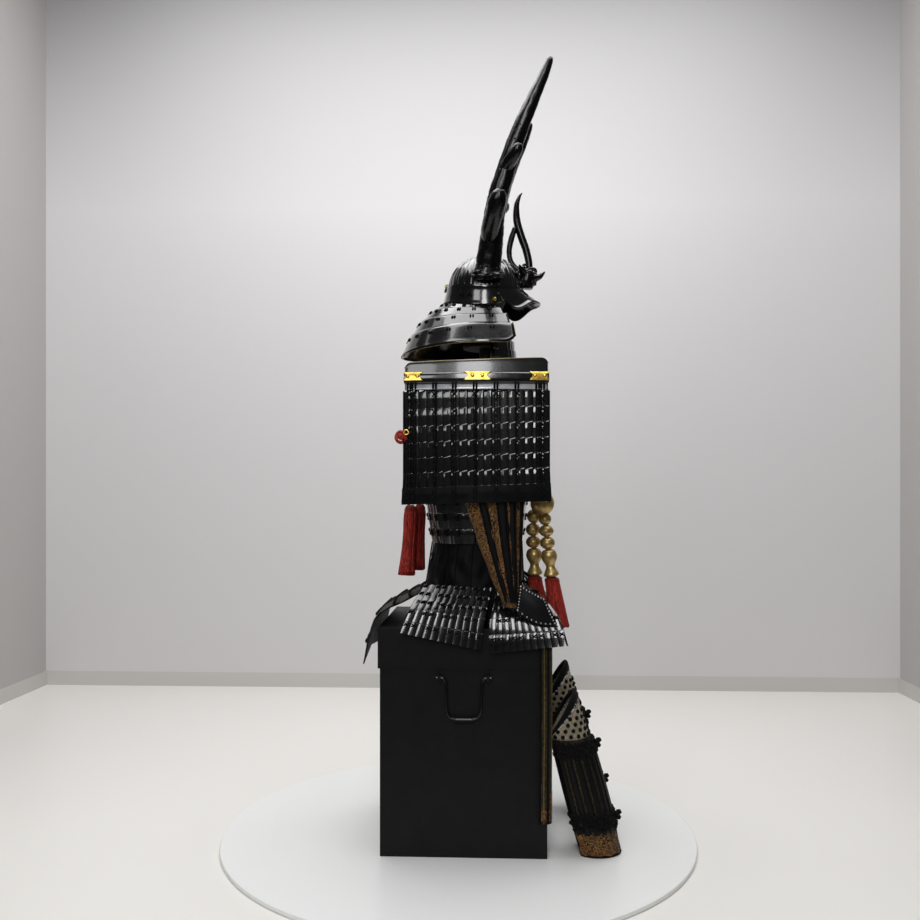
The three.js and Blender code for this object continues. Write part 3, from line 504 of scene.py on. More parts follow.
def cross_knot(batch, at, u, v, away, lift, size=5.0, r=1.7, stem=0.0):
    """Two short crossed braids, as the sparse lacing shows at each row."""
    p, n, a, b = surface_frame(at, u, v, away)
    o = p + n * lift
    for s in (-1, 1):
        d = (a * s + b * 0.9) * size * 0.55
        mid = o + n * r * (0.9 if s > 0 else 0.35)
        batch.add(*capsule(mid - d, mid + d, r, 5, 0.7, n))
    if stem:
        for s in (-1, 1):
            q = o + a * s * size * 0.5 + n * r * 0.1
            batch.add(*capsule(q - b * stem * 0.2, q - b * stem, r * 0.8, 5, 0.6, n))


# Steps across one scale, and the part of a row that slips under the next one
SCALE_STEPS = 8
OVERLAP = 0.05


def lamellar(batch, at, u0, u1, edges, scales, thick, away, step, rib, lean, row=40.0):
    """Rows of overlapping ribbed scales; edges run from the top row to the bottom, each row mm high."""
    us = np.linspace(u0, u1, scales * SCALE_STEPS + 1)
    for k in range(len(edges) - 1):
        top, bottom = edges[k], edges[k + 1]
        size = bottom - top
        ts = np.array([0.0, 0.02, 0.045, 0.08, 0.5, 0.85, 1.0 + (OVERLAP if k < len(edges) - 2 else 0)])

        def place(U, T):
            frac = ((U - u0) / (u1 - u0) * scales + 1e-6) % 1.0
            shift = lean * (0.5 - frac) / row * np.clip(1 - T * 3, 0, 1)
            return at(U, top + size * (T + shift))

        def rise(U, T):
            frac = ((U - u0) / (u1 - u0) * scales + 1e-6) % 1.0
            hump = 0.85 * frac + 0.25 * np.sin(math.pi * frac)
            edge = np.sqrt(np.clip(T / 0.08, 0.0, 1))
            return (step * (1 - T) + rib * hump) * edge

        batch.add(*shell(place, us, ts, thick, away, rise))


# Surfaces of the suit, as in the solids; the trunk's rows hold height, half width, front and rear
TRUNK_ROWS = [
    (560, 186, -176, 140), (640, 160, -150, 104), (775, 148, -147, 87), (872, 160, -158, 101),
    (960, 170, -165, 105), (1050, 168, -163, 102), (1200, 150, -146, 88)
]
TRUNK = np.array(TRUNK_ROWS, float)


def squared(x, power):
    return np.sign(x) * np.abs(x) ** power


def trunk(angle, z):
    half, front, rear = between(z, TRUNK)
    mid, depth = (front + rear) / 2, (rear - front) / 2
    a = np.radians(angle)
    x = half * squared(np.sin(a), 0.8)
    y = mid - depth * squared(np.cos(a), 0.8)
    return np.stack([x, y, np.broadcast_to(z, x.shape) * 1.0], -1)


def sind(degrees):
    return np.sin(np.radians(degrees))


def cosd(degrees):
    return np.cos(np.radians(degrees))


def between(at, table):
    """A table's other columns, read between its rows by the first column."""
    return (np.interp(at, table[:, 0], table[:, k]) for k in range(1, table.shape[1]))


def vec(x, y, z):
    x, y, z = np.broadcast_arrays(np.asarray(x, float), y, z)
    return np.stack([x, y, z], -1)


# Shoulder shields
SODE_REAR, SODE_FRONT, SODE_X, SODE_BOW = 140.0, -209.0, 302.0, 14.0
SODE_EDGES = [1151, 1111, 1072, 1034, 997, 961, 923, 882]
sode_away = (0, -35, 1000)


def sode_x(y):
    s = (y - (SODE_REAR + SODE_FRONT) / 2) / ((SODE_REAR - SODE_FRONT) / 2)
    return -(SODE_X - SODE_BOW * s * s)


def sode_at(u, v):
    spread = 1 + 0.03 * np.clip((961 - v) / 80, 0, 1)
    y = -34.5 + (u + 34.5) * spread
    sag = np.interp(v, [882, 923, 961, 997, 1034, 1072, 1111, 1151], [9, 13, 14, 15, 15, 13, 8, 0])
    return vec(sode_x(u), y, v - sag * (u + 34.5) / 349)


def hem_rise(U, W):
    return 2.6 * (W - 882) / 41 + 0.9 * (W > 885)


b = Batch()
lamellar(b, sode_at, SODE_REAR, SODE_FRONT, SODE_EDGES[:7], 18, 2.2, sode_away, 3.0, 1.9, 5.5, row=38)
us = np.linspace(SODE_REAR, SODE_FRONT, 60)
b.add(*shell(sode_at, us, [923, 921, 912, 892, 883.5, 882], 2.4, sode_away, hem_rise))
b.both("sode_rows", M_LACQUER, "sode_panel", 38)
# Columns of lacing, read off the photo between the shield's rear edge and its front edge
SHIELD_REAR_PX, SHIELD_WIDE_PX = 403, 148
LACE_PX = [411, 435, 455, 476, 497, 518, 541]
lace_y = [SODE_REAR - (px - SHIELD_REAR_PX) / SHIELD_WIDE_PX * (SODE_REAR - SODE_FRONT) for px in LACE_PX]
lace_pairs = [(y - 7, y + 5) if y in (lace_y[0], lace_y[-1]) else (y,) for y in lace_y]
b = Batch()
for z in SODE_EDGES[:-1]:
    zs = np.linspace(z + 2, z - 37, 6)
    for q in sum(lace_pairs, ()):
        cross_knot(b, sode_at, q, z - 9, sode_away, 5.8, 12, 2.6)
        cross_knot(b, sode_at, q, z - 23, sode_away, 5.0, 10, 2.4)
        for s in (-3, 3):
            path = sode_at(np.full(6, q + s), zs) - vec(np.linspace(5.2, 4.2, 6), 0, 0)
            b.add(*tube(path, 2.0, 6, 0.7, side=(1, 0, 0)))
out = np.array([9.0, 10.4, 10.8, 10.2, 8.4, 6.0])
for q in sum(lace_pairs, ()):
    for s in (-3.4, 3.4):
        b.add(*tube(vec(sode_x(q + s) - out, q + s, np.linspace(1168, 1150, 6)), 2.6, 7))
b.both("sode_lacing", M_BRAID)
us = np.linspace(134, -203, 40)


def lip_at(u, v):
    return vec(sode_x(u) - 3.0 - 6.2 * v, u, 1165.8 - 13.6 * v)


# The lip strip's light grey colour is painted reflection, not its own colour.
both("sode_lip", *shell(lip_at, us, [0, 0.3, 0.7, 1], 1.0, (0, -35, 900)), M_LIP_PAINTED_GLINT)
b = Batch()
for y in (SODE_REAR - 1, SODE_FRONT + 1):
    zs = np.linspace(1150, 883, 40)
    b.add(*tube(vec(sode_x(np.full(40, y)) - 4.6, y + (0.5 if y > 0 else -0.5), zs), 2.1, 6))
b.both("sode_edge_braid", M_BRAID)


def plate_top(y):
    near = np.clip(1 - np.minimum(136.5 - y, y + 205.5) / 16, 0, 1)
    return 1219 + 10 * (136 - y) / 341 - 16 * (1 - np.sqrt(np.clip(1 - near * near, 0, 1)))


def plate_at(u, v):
    return vec(sode_x(u) + 5 * v * v, u, 1151.6 + (plate_top(u) - 1151.6) * v)


def plate_rise(U, W):
    return 1.1 * (W > 0.965) + 0.5 * (W < 0.05)


turn_in = 16 * (1 - np.cos(np.linspace(0, math.pi / 2, 10)))
us = np.concatenate([136 - turn_in, np.linspace(118, -187, 40), -205 + turn_in[::-1]])
v, f = shell(plate_at, us, [0, 0.1, 0.3, 0.5, 0.7, 0.86, 0.95, 0.98, 1], 2.2, sode_away, plate_rise)
both("sode_plate", v, f, M_PLATE_SHEEN, "sode_top_plate", 40)
b = Batch()
rim = plate_at(us, np.ones(len(us))) + vec(-2.2, 0, 0.4)
b.add(*tube(rim, 1.1, 8))
for y in (136, -205):
    zs = np.linspace(0.02, 1, 12)
    b.add(*tube(plate_at(np.full(12, float(y)), zs) + vec(-2.0, 0, 0), 1.0, 8))
b.both("sode_gold_rim", M_GOLD_DIM)
BAR_OUT, BAR_Z, BAR_HALF_HIGH, BAR_HALF_DEEP = 7.6, 1180.2, 12.8, 5.4
ys = np.linspace(138, -207, 70)
path = vec(sode_x(ys) - BAR_OUT, ys, BAR_Z)
v, f = tube(path, BAR_HALF_HIGH, 24, BAR_HALF_DEEP / BAR_HALF_HIGH, side=(0, 0, 1))
both("sode_bar_lacquer", v, f, M_LACQUER, "sode_bar", 50)
b = Batch()
for c, w in ((117, 42), (-38, 60), (-186, 44)):

    def plate(u, v, c=c, w=w):
        q = np.abs(v - 25) / 53
        notch = 8 * np.abs(u) ** 5 * (1 - q) - 3 * np.abs(u) ** 5 * q
        y = np.clip(c + u * w / 2 - np.sign(u) * notch, -208.5, 139.5)
        x = sode_x(y) - BAR_OUT - (BAR_HALF_DEEP + 0.3) * cosd(v)
        return vec(x, y, BAR_Z + (BAR_HALF_HIGH + 0.4) * sind(v))

    us, vs = np.linspace(-1, 1, 30), np.linspace(78, -28, 15)
    b.add(*shell(plate, us, vs, 0.9, (-280, c, BAR_Z), lambda U, W: 0.7 * (np.abs(W - 25) > 42)))
    for dy in (-11.5, 11.5):
        p = np.array([sode_x(c + dy) - 13.6, c + dy, 1184.0])
        b.add(*ball(p, 4.6, 14, 9, (0.6, 1, 1)))
        b.add(*tube(hoop(p + (0.2, 0, 0), 6.0, 6.0, 16), 0.9, 6, closed=True))
b.both("sode_bar_fittings", M_GOLD)

# Red cord knot and ring at the shield's rear edge
b = Batch()
b.add(*ball((-293, 145, 1042), 10, 14, 9, (0.7, 1, 0.95)))
a = circle(16)
loop = np.stack([-293 + 3 * np.sin(a * 2), 147 + 11 * np.cos(a), 1040 + 13 * np.sin(a)], 1)
b.add(*tube(loop, 4.2, 8, closed=True))
b.add(*capsule((-295, 141, 1046), (-298, 131, 1034), 3.4, 7))
b.both("sode_cord_knot", M_RED)
both("sode_cord_ring", *tube(hoop((-300, 133, 1051), 5.6, 5.6, 18), 1.9, 7, closed=True), M_GOLD)

# Body armour rows
DO_EDGES = [1015, 975, 935, 895, 855, 815, 775]
axis_away = (0, -30, 895)
for name, start in (("do_front", 0), ("do_back", 180)):
    b = Batch()
    lamellar(
        b, lambda u, v, t=start: trunk(u + t, v), -89.9, 89.9, DO_EDGES, 22, 2.8, axis_away, 2.6, 1.2, 2.5
    )
    b.make(name + "_rows", M_LACQUER, name, 38)


def chest_at(u, v):
    return trunk(u * (64 + (40 - 64) * (v - 1015) / 120), v)


def back_at(u, v):
    return trunk(180 + u * (66 + (44 - 66) * (v - 1015) / 170), v)


CHEST_EDGES = [1135, 1095, 1055, 1015.4]
BACK_EDGES = [1185, 1142, 1100, 1058, 1015.4]
for name, at, edges in (("chest_plate", chest_at, CHEST_EDGES), ("back_plate", back_at, BACK_EDGES)):
    b = Batch()
    lamellar(b, at, -1, 1, edges, 14, 2.8, (0, -30, 1080), 2.6, 1.2, 2.5)
    b.make(name + "_rows", M_LACQUER, name, 38)
b = Batch()
for edges, at, spots in (
    (DO_EDGES, trunk, np.arange(-170, 190, 16)),
    (CHEST_EDGES, lambda u, v: chest_at(u / 64, v), np.arange(-52, 53, 13)),
    (BACK_EDGES, lambda u, v: back_at(u / 66, v), np.arange(-52, 53, 13)),
):
    for z in edges[:-1]:
        for a in spots:
            cross_knot(b, at, a, z - 7, (0, -30, z), 6.2, 8, 1.9, 8)
            cross_knot(b, at, a, z - 18, (0, -30, z), 5.4, 6.5, 1.6)
b.make("do_lacing", M_BRAID)
b = Batch()
for a in np.arange(-172, 188, 16):
    p, n, *_ = surface_frame(trunk, a, 776, axis_away)
    q, m, *_ = surface_frame(trunk, a, 664, axis_away)
    path = [p + n * 4, p * 0.7 + q * 0.3 + n * 5, p * 0.3 + q * 0.7 + n * 6, q + m * 7]
    b.add(*tube(smooth_path(path, 8), 1.6, 5))
b.make("hanging_cords", M_BRAID)


# Waist cloth with soft folds
def cloth_at(u, v):
    z = np.clip(v, 600, 790)
    p = trunk(u, z)
    slim = np.where(v > 700, 0.99 - 0.038 * (np.clip(v, 700, 790) - 700) / 90, 0.99)
    return np.stack([p[..., 0] * slim, -30 + (p[..., 1] + 30) * slim, np.broadcast_to(v, slim.shape)], -1)


def cloth_rise(U, W):
    a = np.radians(U)
    droop = np.sin(W / 9.0 + 2.2 * np.sin(a * 3) + 1.3 * np.sin(a * 7)) * 1.6
    folds = 2.4 * np.sin(a * 17 + W / 31) + 1.2 * np.sin(a * 29 - W / 17)
    return (folds + droop + 3.5) * np.clip((768 - W) / 30, 0, 1) * np.clip((W - 590) / 60, 0, 1) * 0.75


ob = make(
    "waist_cloth_folds",
    *shell(cloth_at, turn(156), np.linspace(792, 569.4, 40), 2.2, (0, -30, 680), cloth_rise, around=True),
    M_SATIN, "waist_cloth"
)

# Tassets
FLAPS = {
    "tasset_front": [
        [(-64, -152.8, 668), (64, -152.8, 668)], [(-68, -188, 630), (68, -188, 630)],
        [(-74, -217.5, 588), (74, -217.5, 588)], [(-80, -226, 498), (80, -226, 498)]
    ],
    "tasset_front_side": [
        [(-156.5, -81.5, 668), (-98, -148, 677)], [(-196, -76, 630), (-158, -196, 642)],
        [(-228, -66, 586), (-216, -238, 594)], [(-238, -64, 511), (-236, -258, 532)]
    ],
    "tasset_side": [
        [(-164, -70, 665), (-146, 100, 669)], [(-197, -62, 627), (-176, 118, 642)],
        [(-226, -52, 586), (-222, 138, 608)], [(-240, -44, 520), (-243, 156, 562)]
    ],
    "tasset_back": [
        [(-104, 96, 655), (-2, 107.8, 655)], [(-146, 150, 628), (-2, 160, 628)],
        [(-180, 218, 592), (-2, 222, 590)], [(-206, 248, 478), (-2, 258, 492)]
    ],
}
FLAP_BOW = {"tasset_front": 2, "tasset_front_side": 3, "tasset_side": 4, "tasset_back": 3}


def curve4(P, v):
    """Centripetal Catmull-Rom through four points, as the solids use."""
    pts = [2 * P[0] - P[1], *P, 2 * P[3] - P[2]]
    v = np.clip(v, 0, 1)
    s = v * 3
    out = np.zeros(np.broadcast(P[0][..., 0], v).shape + (3,))
    for k in range(3):
        a, b, c, d = pts[k : k + 4]
        dt = [((y - x) ** 2).sum(-1) ** 0.25 for x, y in ((a, b), (b, c), (c, d))]
        d0, d1, d2 = (x[..., None] for x in dt)
        t1 = ((b - a) / d0 - (c - a) / (d0 + d1) + (c - b) / d1) * d1
        t2 = ((c - b) / d1 - (d - b) / (d1 + d2) + (d - c) / d2) * d1
        t = np.clip(s - k, 0, 1)[..., None]
        val = b + t1 * t + (-3 * b + 3 * c - 2 * t1 - t2) * t * t + (2 * b - 2 * c + t1 + t2) * t**3
        last = k == 2
        mask = (s >= k) & ((s <= k + 1) if last else (s < k + 1))
        out = np.where(mask[..., None], val, out)
    return out


def flap_at(name):
    lines = np.array(FLAPS[name], float)
    towards = lines.reshape(-1, 3)[:, :2].sum(0)
    towards = np.array([*towards, 0]) / np.linalg.norm(towards)

    def at(u, v):
        u, v = np.broadcast_arrays(np.asarray(u, float), v)
        P = [line[0] + (line[1] - line[0]) * u[..., None] for line in lines]
        p = curve4(P, v)
        w = np.clip(v, 0, 1)
        tail = np.where(v > 1, v - 1, np.where(v < 0, v, 0))
        down = np.where((v > 1)[..., None], P[3] - P[2], P[1] - P[0])
        bow = FLAP_BOW[name] * (1 - (2 * u - 1) ** 2) * (1 - w)
        return p + towards * bow[..., None] + down * tail[..., None] * 3

    return at


for name in FLAPS:
    at = flap_at(name)
    edges = np.linspace(0, 1, 6)
    rows, lace = Batch(), Batch()
    away = (0, 0, 540)
    scales = 8 if name == "tasset_front" else 11
    lamellar(rows, at, 0, 1, edges, scales, 2.2, away, 2.8, 1.9, 2.0)
    cols = (np.arange(scales) + 0.5) / scales
    for k, e in enumerate(edges[:-1]):
        for i, u in enumerate(cols):
            if name != "tasset_front" and (i + k) % 3 == 0:
                continue
            p, n, a, d = surface_frame(at, u, e + 0.055, away, 0.01, 0.01)
            o = p + n * 6.4
            for s in (-1, 1):
                dd = (a * s + d * 0.8) * 5.2
                lift = n * (1.0 if s > 0 else 0)
                lace.add(*capsule(o - dd + lift, o + dd + lift, 2.9, 6, 0.7, n))
    if name == "tasset_front":
        rows.make(name + "_rows", M_LACQUER, name, 38)
        lace.make(name + "_lacing", M_BRAID)
    else:
        rows.both(name + "_rows", M_DULL if name == "tasset_back" else M_LACQUER, name, 38)
        lace.both(name + "_lacing", M_BRAID)

# Helmet
BOWL_SIDE, BOWL_DEEP, BOWL_Y, BOWL_TOP = 96, 97, -52, 1545


def bowl_base(c):
    return 1440 + np.where(c > 0, 4 * c, -12 * c)


def bowl_at(u, v):
    c = cosd(u)
    f = cosd(v * 90)
    g = np.sqrt(np.clip(1 - f * f, 0, 1))
    z0 = bowl_base(c)
    return vec(BOWL_SIDE * f * sind(u), BOWL_Y - BOWL_DEEP * f * c, z0 + (BOWL_TOP - z0) * g)


RIBS = 32


def rib_rise(U, W):
    frac = (U / (360 / RIBS)) % 1.0
    near = np.minimum(frac, 1 - frac)
    return 1.9 * np.exp(-((near / 0.07) ** 2)) + 0.8 * np.sin(math.pi * frac) * 0.6


bowl_away = (0, BOWL_Y, 1440)
make(
    "helmet_bowl_ribbed",
    *shell(bowl_at, turn(RIBS * 10), np.linspace(0.02, 0.92, 26), 2.2, bowl_away, rib_rise, around=True),
    M_LACQUER, "helmet_bowl"
)


def band_at(u, v):
    c = cosd(u)
    low = 1397 + np.where(c > 0, 35, 19) * c * c
    x = (BOWL_SIDE + 5.2) * sind(u)
    top = bowl_base(c) + 5
    flare = 10 * v * np.maximum(-c, 0)
    return vec(x, BOWL_Y - (BOWL_DEEP + 5.2 + flare) * c, top + (low - top) * v)


def ease(t):
    t = np.clip(t, 0, 1)
    return t * t * (3 - 2 * t)


def band_rise(U, W):
    return 0.8 * (W < 0.12) + 0.6 * (W > 0.93)


make(
    "helmet_band_plate",
    *shell(
        band_at, turn(96), [0, 0.04, 0.1, 0.13, 0.4, 0.7, 0.92, 0.95, 1], 2.2, (0, BOWL_Y, 1420),
        band_rise, around=True
    ),
    M_LACQUER, "helmet_band", 40
)


def peak_at(u, v):
    c = cosd(u)
    top = 1428 + 16 * c
    low = 1412 - 25 * ease((0.9 - c) / 0.32) + 20 * ease((0.55 - c) / 0.24)
    near = BOWL_DEEP + 8.2
    r = near + (144 + 3 * c - near) * v
    return vec((BOWL_SIDE + 8.2 + 2 * v) * sind(u), BOWL_Y - r * c, top + (low - top) * v)


us = np.linspace(-72, 72, 50)
make(
    "helmet_peak_plate",
    *shell(
        peak_at, us, [0, 0.2, 0.4, 0.6, 0.8, 0.92, 0.95, 1], 2.2, (0, BOWL_Y, 1300),
        lambda U, W: 1.2 * (W > 0.94)
    ),
    M_LACQUER, "helmet_peak", 40
)

GUARD = np.array(
    [
        (0, 1394.8, 1413.6, 99, 58), (1, 1382, 1391, 113, 90), (2, 1361, 1359, 127, 119),
        (3, 1333, 1318, 145, 144), (4, 1281, 1266, 168, 167)
    ],
    float
)


def guard_at(u, v):
    side, rz, half, ry = between(v, GUARD)
    c = cosd(u)
    back = np.maximum(c, 0)
    return vec(half * sind(u), -50 + (ry + 50) * c, side + (rz - side) * back * back)


def guard_frame(u, v):
    return surface_frame(guard_at, u, v, guard_away, 0.5, 0.01)


guard_away = (0, -50, 1300)
knots, gold = Batch(), Batch()
for k in range(4):
    end = 106 + 2 * k
    v0 = k - 0.1 if k else 0.0
    v1 = k + 0.98
    us = np.linspace(-end, end, 90)

    def corner(U, W, e=end, k=k):
        t = np.clip((np.abs(U) - (e - 9)) / 9, 0, 1)
        return guard_at(U, W - (0.35 if k == 3 else 0.1) * t * t * np.clip((W - k) * 1.2, 0, 1))

    lift = 2.9 * k
    v, f = shell(corner, us, np.linspace(v0, v1, 9), 2.1, guard_away, lambda U, W: 0.9 * (W > 3.9), lift)
    make(f"neck_guard_lame_{k + 1}", v, f, M_LACQUER, f"neck_guard_{k + 1}")
    if k == 3:
        path = [corner(np.float64(a), np.float64(v1)) for a in us]
        normals = [guard_frame(a, v1 - 0.02)[1] for a in us]
        gold.add(*tube(np.array(path) + np.array(normals) * (lift + 1.4), 1.2, 7))
        for s in (-1, 1):
            ws = np.linspace(v0, v1, 10)
            path = [corner(np.float64(s * end), np.float64(w)) for w in ws]
            normals = [guard_frame(s * end, min(w, 3.95))[1] for w in ws]
            gold.add(*tube(np.array(path) + np.array(normals) * (lift + 1.2), 1.0, 7))
    for a in np.arange(-96, 97, 16):
        for da in (-1.1, 1.1):
            p, n, _, down = guard_frame(a + da, k + (0.2 if k else 0.3))
            o = p + n * (lift + 3.4)
            knots.add(*capsule(o - down * 4.4, o + down * 4.4, 2.6, 6, 0.9, n))
gold.make("neck_guard_gold_rim", M_GOLD_DIM)
knots.make("neck_guard_lacing", M_BRAID)
b = Batch()
us = np.linspace(-72, 72, 50)
b.add(*tube(peak_at(us, np.ones(50)), 2.0, 7))
b.make("peak_rim", M_LACQUER)
b = Batch()
for s in (-1, 1):
    b.add(*ball((s * 108, -77, 1408), 5.6, 14, 8, (0.7, 1, 1)))
    b.add(*ball((s * 111.5, -77, 1408), 2.8, 10, 6, (0.8, 1, 1)))
b.make("band_bosses", M_GOLD)
b = Batch()
for t in (112, 125):
    for s in (-1, 1):
        p, n, a, d = surface_frame(band_at, s * t, 0.5, (0, BOWL_Y, 1420), 0.5, 0.05)
        for q in (-3, 3):
            m = p + n * 4.5 + a * q
            b.add(*capsule(m - d * 8 - a * q, m + d * 8 + a * q, 1.9, 6))
b.make("band_ties", M_BRAID)

# Crown fitting: open flower ring with petals
FLOWER = [
    (8, 1544.5), (8, 1548.3), (18.6, 1548.6), (19.2, 1549.3), (18.4, 1550.3), (15, 1551.1),
    (12.5, 1551.5), (12.2, 1552.9), (10.6, 1554.3), (7, 1554.5), (6, 1551.7)
]
b = Batch()
b.add(*turned(FLOWER, 32, (0, BOWL_Y, 0)))
for k in range(12):
    a = k * math.pi / 6
    b.add(*ball((17.2 * math.cos(a), BOWL_Y + 17.2 * math.sin(a), 1549.7), 3.4, 8, 6, (1, 1, 0.55)))
b.make("crown_flower", M_GOLD, "helmet_crown")

# Antlers
BEAM = [
    (-92, -59, 1461, 24), (-93, -59, 1466, 35), (-96, -59, 1478, 37), (-100, -60, 1491, 33),
    (-107, -63, 1512, 32), (-124, -70, 1560, 30), (-150, -77, 1612, 27), (-170, -87, 1657, 25),
    (-182, -103, 1705, 23.5), (-194, -127, 1775, 21.5), (-202, -150, 1830, 19), (-206, -174, 1885, 16),
    (-207, -196, 1932, 13), (-206, -212, 1972, 9.5), (-205, -217, 1985, 5.5)
]
TINE_LOW = [
    (-130, -64, 1560, 22), (-160, -67, 1578, 22.5), (-190, -76, 1602, 23), (-212, -84, 1625, 22.5),
    (-224, -90, 1643, 18), (-229, -93, 1653, 9)
]
TINE_HIGH = [
    (-186, -104, 1716, 17), (-206, -114, 1728, 16.5), (-226, -130, 1745, 15), (-234, -137, 1756, 11.5),
    (-237, -140, 1762, 5.5)
]


def horn(batch, rows, count, n, side, burr=0.0):
    path = smooth_path(rows, count)
    v, f = tube(path[:, :3], path[:, 3], n, side=side)
    v = v.reshape(count, n, 3)
    for i in range(count):
        c = path[i, :3]
        low = math.exp(-((c[2] - 1474) / 12) ** 2) * burr
        for j in range(n):
            q = v[i, j]
            rough = (noise.noise(Vector(q * 0.055)) + noise.noise(Vector(q * 0.16))) * 0.05
            groove = 0.02 * math.cos(j * 2 * math.pi / n * 7)
            knob = low * (0.12 + 0.22 * noise.noise(Vector(q * 0.22)))
            v[i, j] = c + (q - c) * (1 + (rough + groove) * min(1, path[i, 3] / 15) + knob)
    batch.add(v.reshape(-1, 3), f)


PEARLS = 330
for word, side, lean in (("right", 1, 0.0), ("left", -1, 0.1)):
    b = Batch()
    beam, tine_low, tine_high = (
        [(x, y + min(36, max(0, (z - 1475) * lean)), z, r) for x, y, z, r in rows]
        for rows in (BEAM, TINE_LOW, TINE_HIGH)
    )
    horn(b, beam, 100, 28, (1, 0, 0), 1.0)
    horn(b, tine_low, 30, 22, (0, 1, 0))
    horn(b, tine_high, 26, 18, (0, 1, 0))
    path = smooth_path(beam, 160)
    for k in range(PEARLS):
        i = int(22 + rng.random() * 92)
        c, rad = path[i, :3], path[i, 3]
        a = rng.random() * 2 * math.pi
        d = np.array([math.cos(a), math.sin(a) * 0.9, 0.15])
        b.add(*ball(c + d * rad * 0.97, 1.3 + rng.random() * 1.6, 7, 5, (1, 1, 1.6)))
    verts, faces = np.concatenate(b.v), b.f
    if side < 0:
        verts, faces = mirrored(verts, faces)
    make(f"antler_pearled_{word}", verts, faces, M_HORN, f"antler_{word}")

# Front crest
b = Batch()


def soft_tube(rows, count, n, side):
    path = smooth_path([(*r[:4], r[4] if len(r) > 4 else r[3]) for r in rows], count)
    v, f = tube(path[:, :3], path[:, 3], n, side=side)
    v = v.reshape(count, n, 3)
    flat = (path[:, 4] / path[:, 3])[:, None, None]
    tan = np.gradient(path[:, :3], axis=0)
    tan /= np.linalg.norm(tan, axis=1, keepdims=True)
    s = np.asarray(side, float)
    one = s - tan * (tan @ s)[:, None]
    one /= np.linalg.norm(one, axis=1, keepdims=True)
    d = v - path[:, None, :3]
    along = (d * one[:, None, :]).sum(-1, keepdims=True) * one[:, None, :]
    v = path[:, None, :3] + along + (d - along) * flat
    return v.reshape(-1, 3), f


BROW = [(10, -190, 1499), (18, -184, 1505), (24, -172, 1506), (27, -160, 1499)]
CURLS = [(-150, 1504, 7), (-143, 1492, 8), (-146, 1478, 7), (-152, 1466, 6), (-158, 1513, 5.5)]
HEAD = [
    (0, -166, 1457.6, 20, 14), (0, -166, 1464, 22, 16), (0, -163, 1476, 25, 20), (0, -166, 1490, 25, 21),
    (0, -166, 1502, 20, 16), (0, -164, 1510, 10, 8)
]
SNOUT = [
    (0, -160, 1480, 17, 14), (0, -178, 1484, 16, 12), (0, -196, 1488, 12, 8), (0, -203, 1493, 7, 6),
    (0, -212, 1502, 2, 2)
]
JAW = [(0, -164, 1469, 14, 7), (0, -176, 1468, 12, 6), (0, -189, 1470, 8, 4)]
EAR = [(16, -158, 1490, 9, 6), (30, -150, 1500, 8, 5), (40, -142, 1512, 2, 2)]
b.add(*soft_tube(HEAD, 24, 26, (1, 0, 0)))
b.add(*soft_tube(SNOUT, 26, 20, (1, 0, 0)))
b.add(*soft_tube(JAW, 16, 16, (1, 0, 0)))
for s in (-1, 1):
    b.add(*soft_tube([(s * x, *row) for x, *row in EAR], 14, 12, (0, 1, 0)))
    for y, z, r in CURLS:
        t = np.linspace(0, 8.5, 22)
        fade = 1 - t / 12
        curl = vec(s * (22 + 2 * np.cos(t)), y + r * np.cos(t) * fade, z + r * np.sin(t) * fade)
        b.add(*tube(curl, np.linspace(2.6, 1.4, 22), 8))
    b.add(*ball((s * 17, -180, 1497), 5.4, 12, 8, (0.8, 1, 1)))
    brow = smooth_path([(s * x, *row) for x, *row in BROW], 12)
    b.add(*tube(brow, [2, 3, 3.6, 4, 4, 4, 3.8, 3.6, 3.2, 2.8, 2.2, 1.4], 8))
    b.add(*ball((s * 6.5, -200, 1492), 4, 10, 6))
    for t in range(4):
        b.add(*tube([(s * 9, -174 - 5 * t, 1478.5), (s * 9, -174.5 - 5 * t, 1472.5)], [1.9, 0.5], 6))
HORN = [
    (0, -166, 1500, 9), (0, -170, 1520, 9.5), (0, -162, 1560, 10), (0, -148, 1600, 10.5),
    (0, -137, 1640, 10), (0, -136, 1680, 7.5), (0, -143, 1705, 4.5), (0, -151, 1716, 1.5)
]
REAR_HORN = [
    (0, -160, 1502, 7), (0, -136, 1512, 7), (0, -120, 1532, 7), (0, -116, 1560, 7.5), (0, -122, 1592, 8),
    (0, -132, 1622, 7)
]
b.add(*soft_tube(HORN, 60, 16, (1, 0, 0)))
b.add(*soft_tube(REAR_HORN, 44, 14, (1, 0, 0)))
b.make("crest_beast_head", M_HORN, "crest_beast")
b = Batch()
for s in (-1, 1):
    b.add(*ball((s * 20.4, -181.5, 1497), 2.6, 10, 6))
b.make("crest_eyes", M_GOLD)


# Sleeves
SLEEVE = np.array(
    [
        (628, -246, -119, 22, 15), (700, -246, -106, 28, 34), (780, -247, -92, 30, 50),
        (881, -248, -78, 34, 69), (1000, -250, -58, 42, 70), (1100, -251, -42, 48, 68),
        (1196, -246, -28, 47, 62)
    ],
    float
)


def sleeve_at(u, v):
    x, y, hx, hy = between(v, SLEEVE)
    a = np.radians(u)
    return vec(x + hx * squared(np.cos(a), 0.85), y + hy * squared(np.sin(a), 0.85), v)


def sleeve_rise(U, W):
    return 0.7 + 0.7 * np.sin(W / 13 + np.radians(U) * 3)


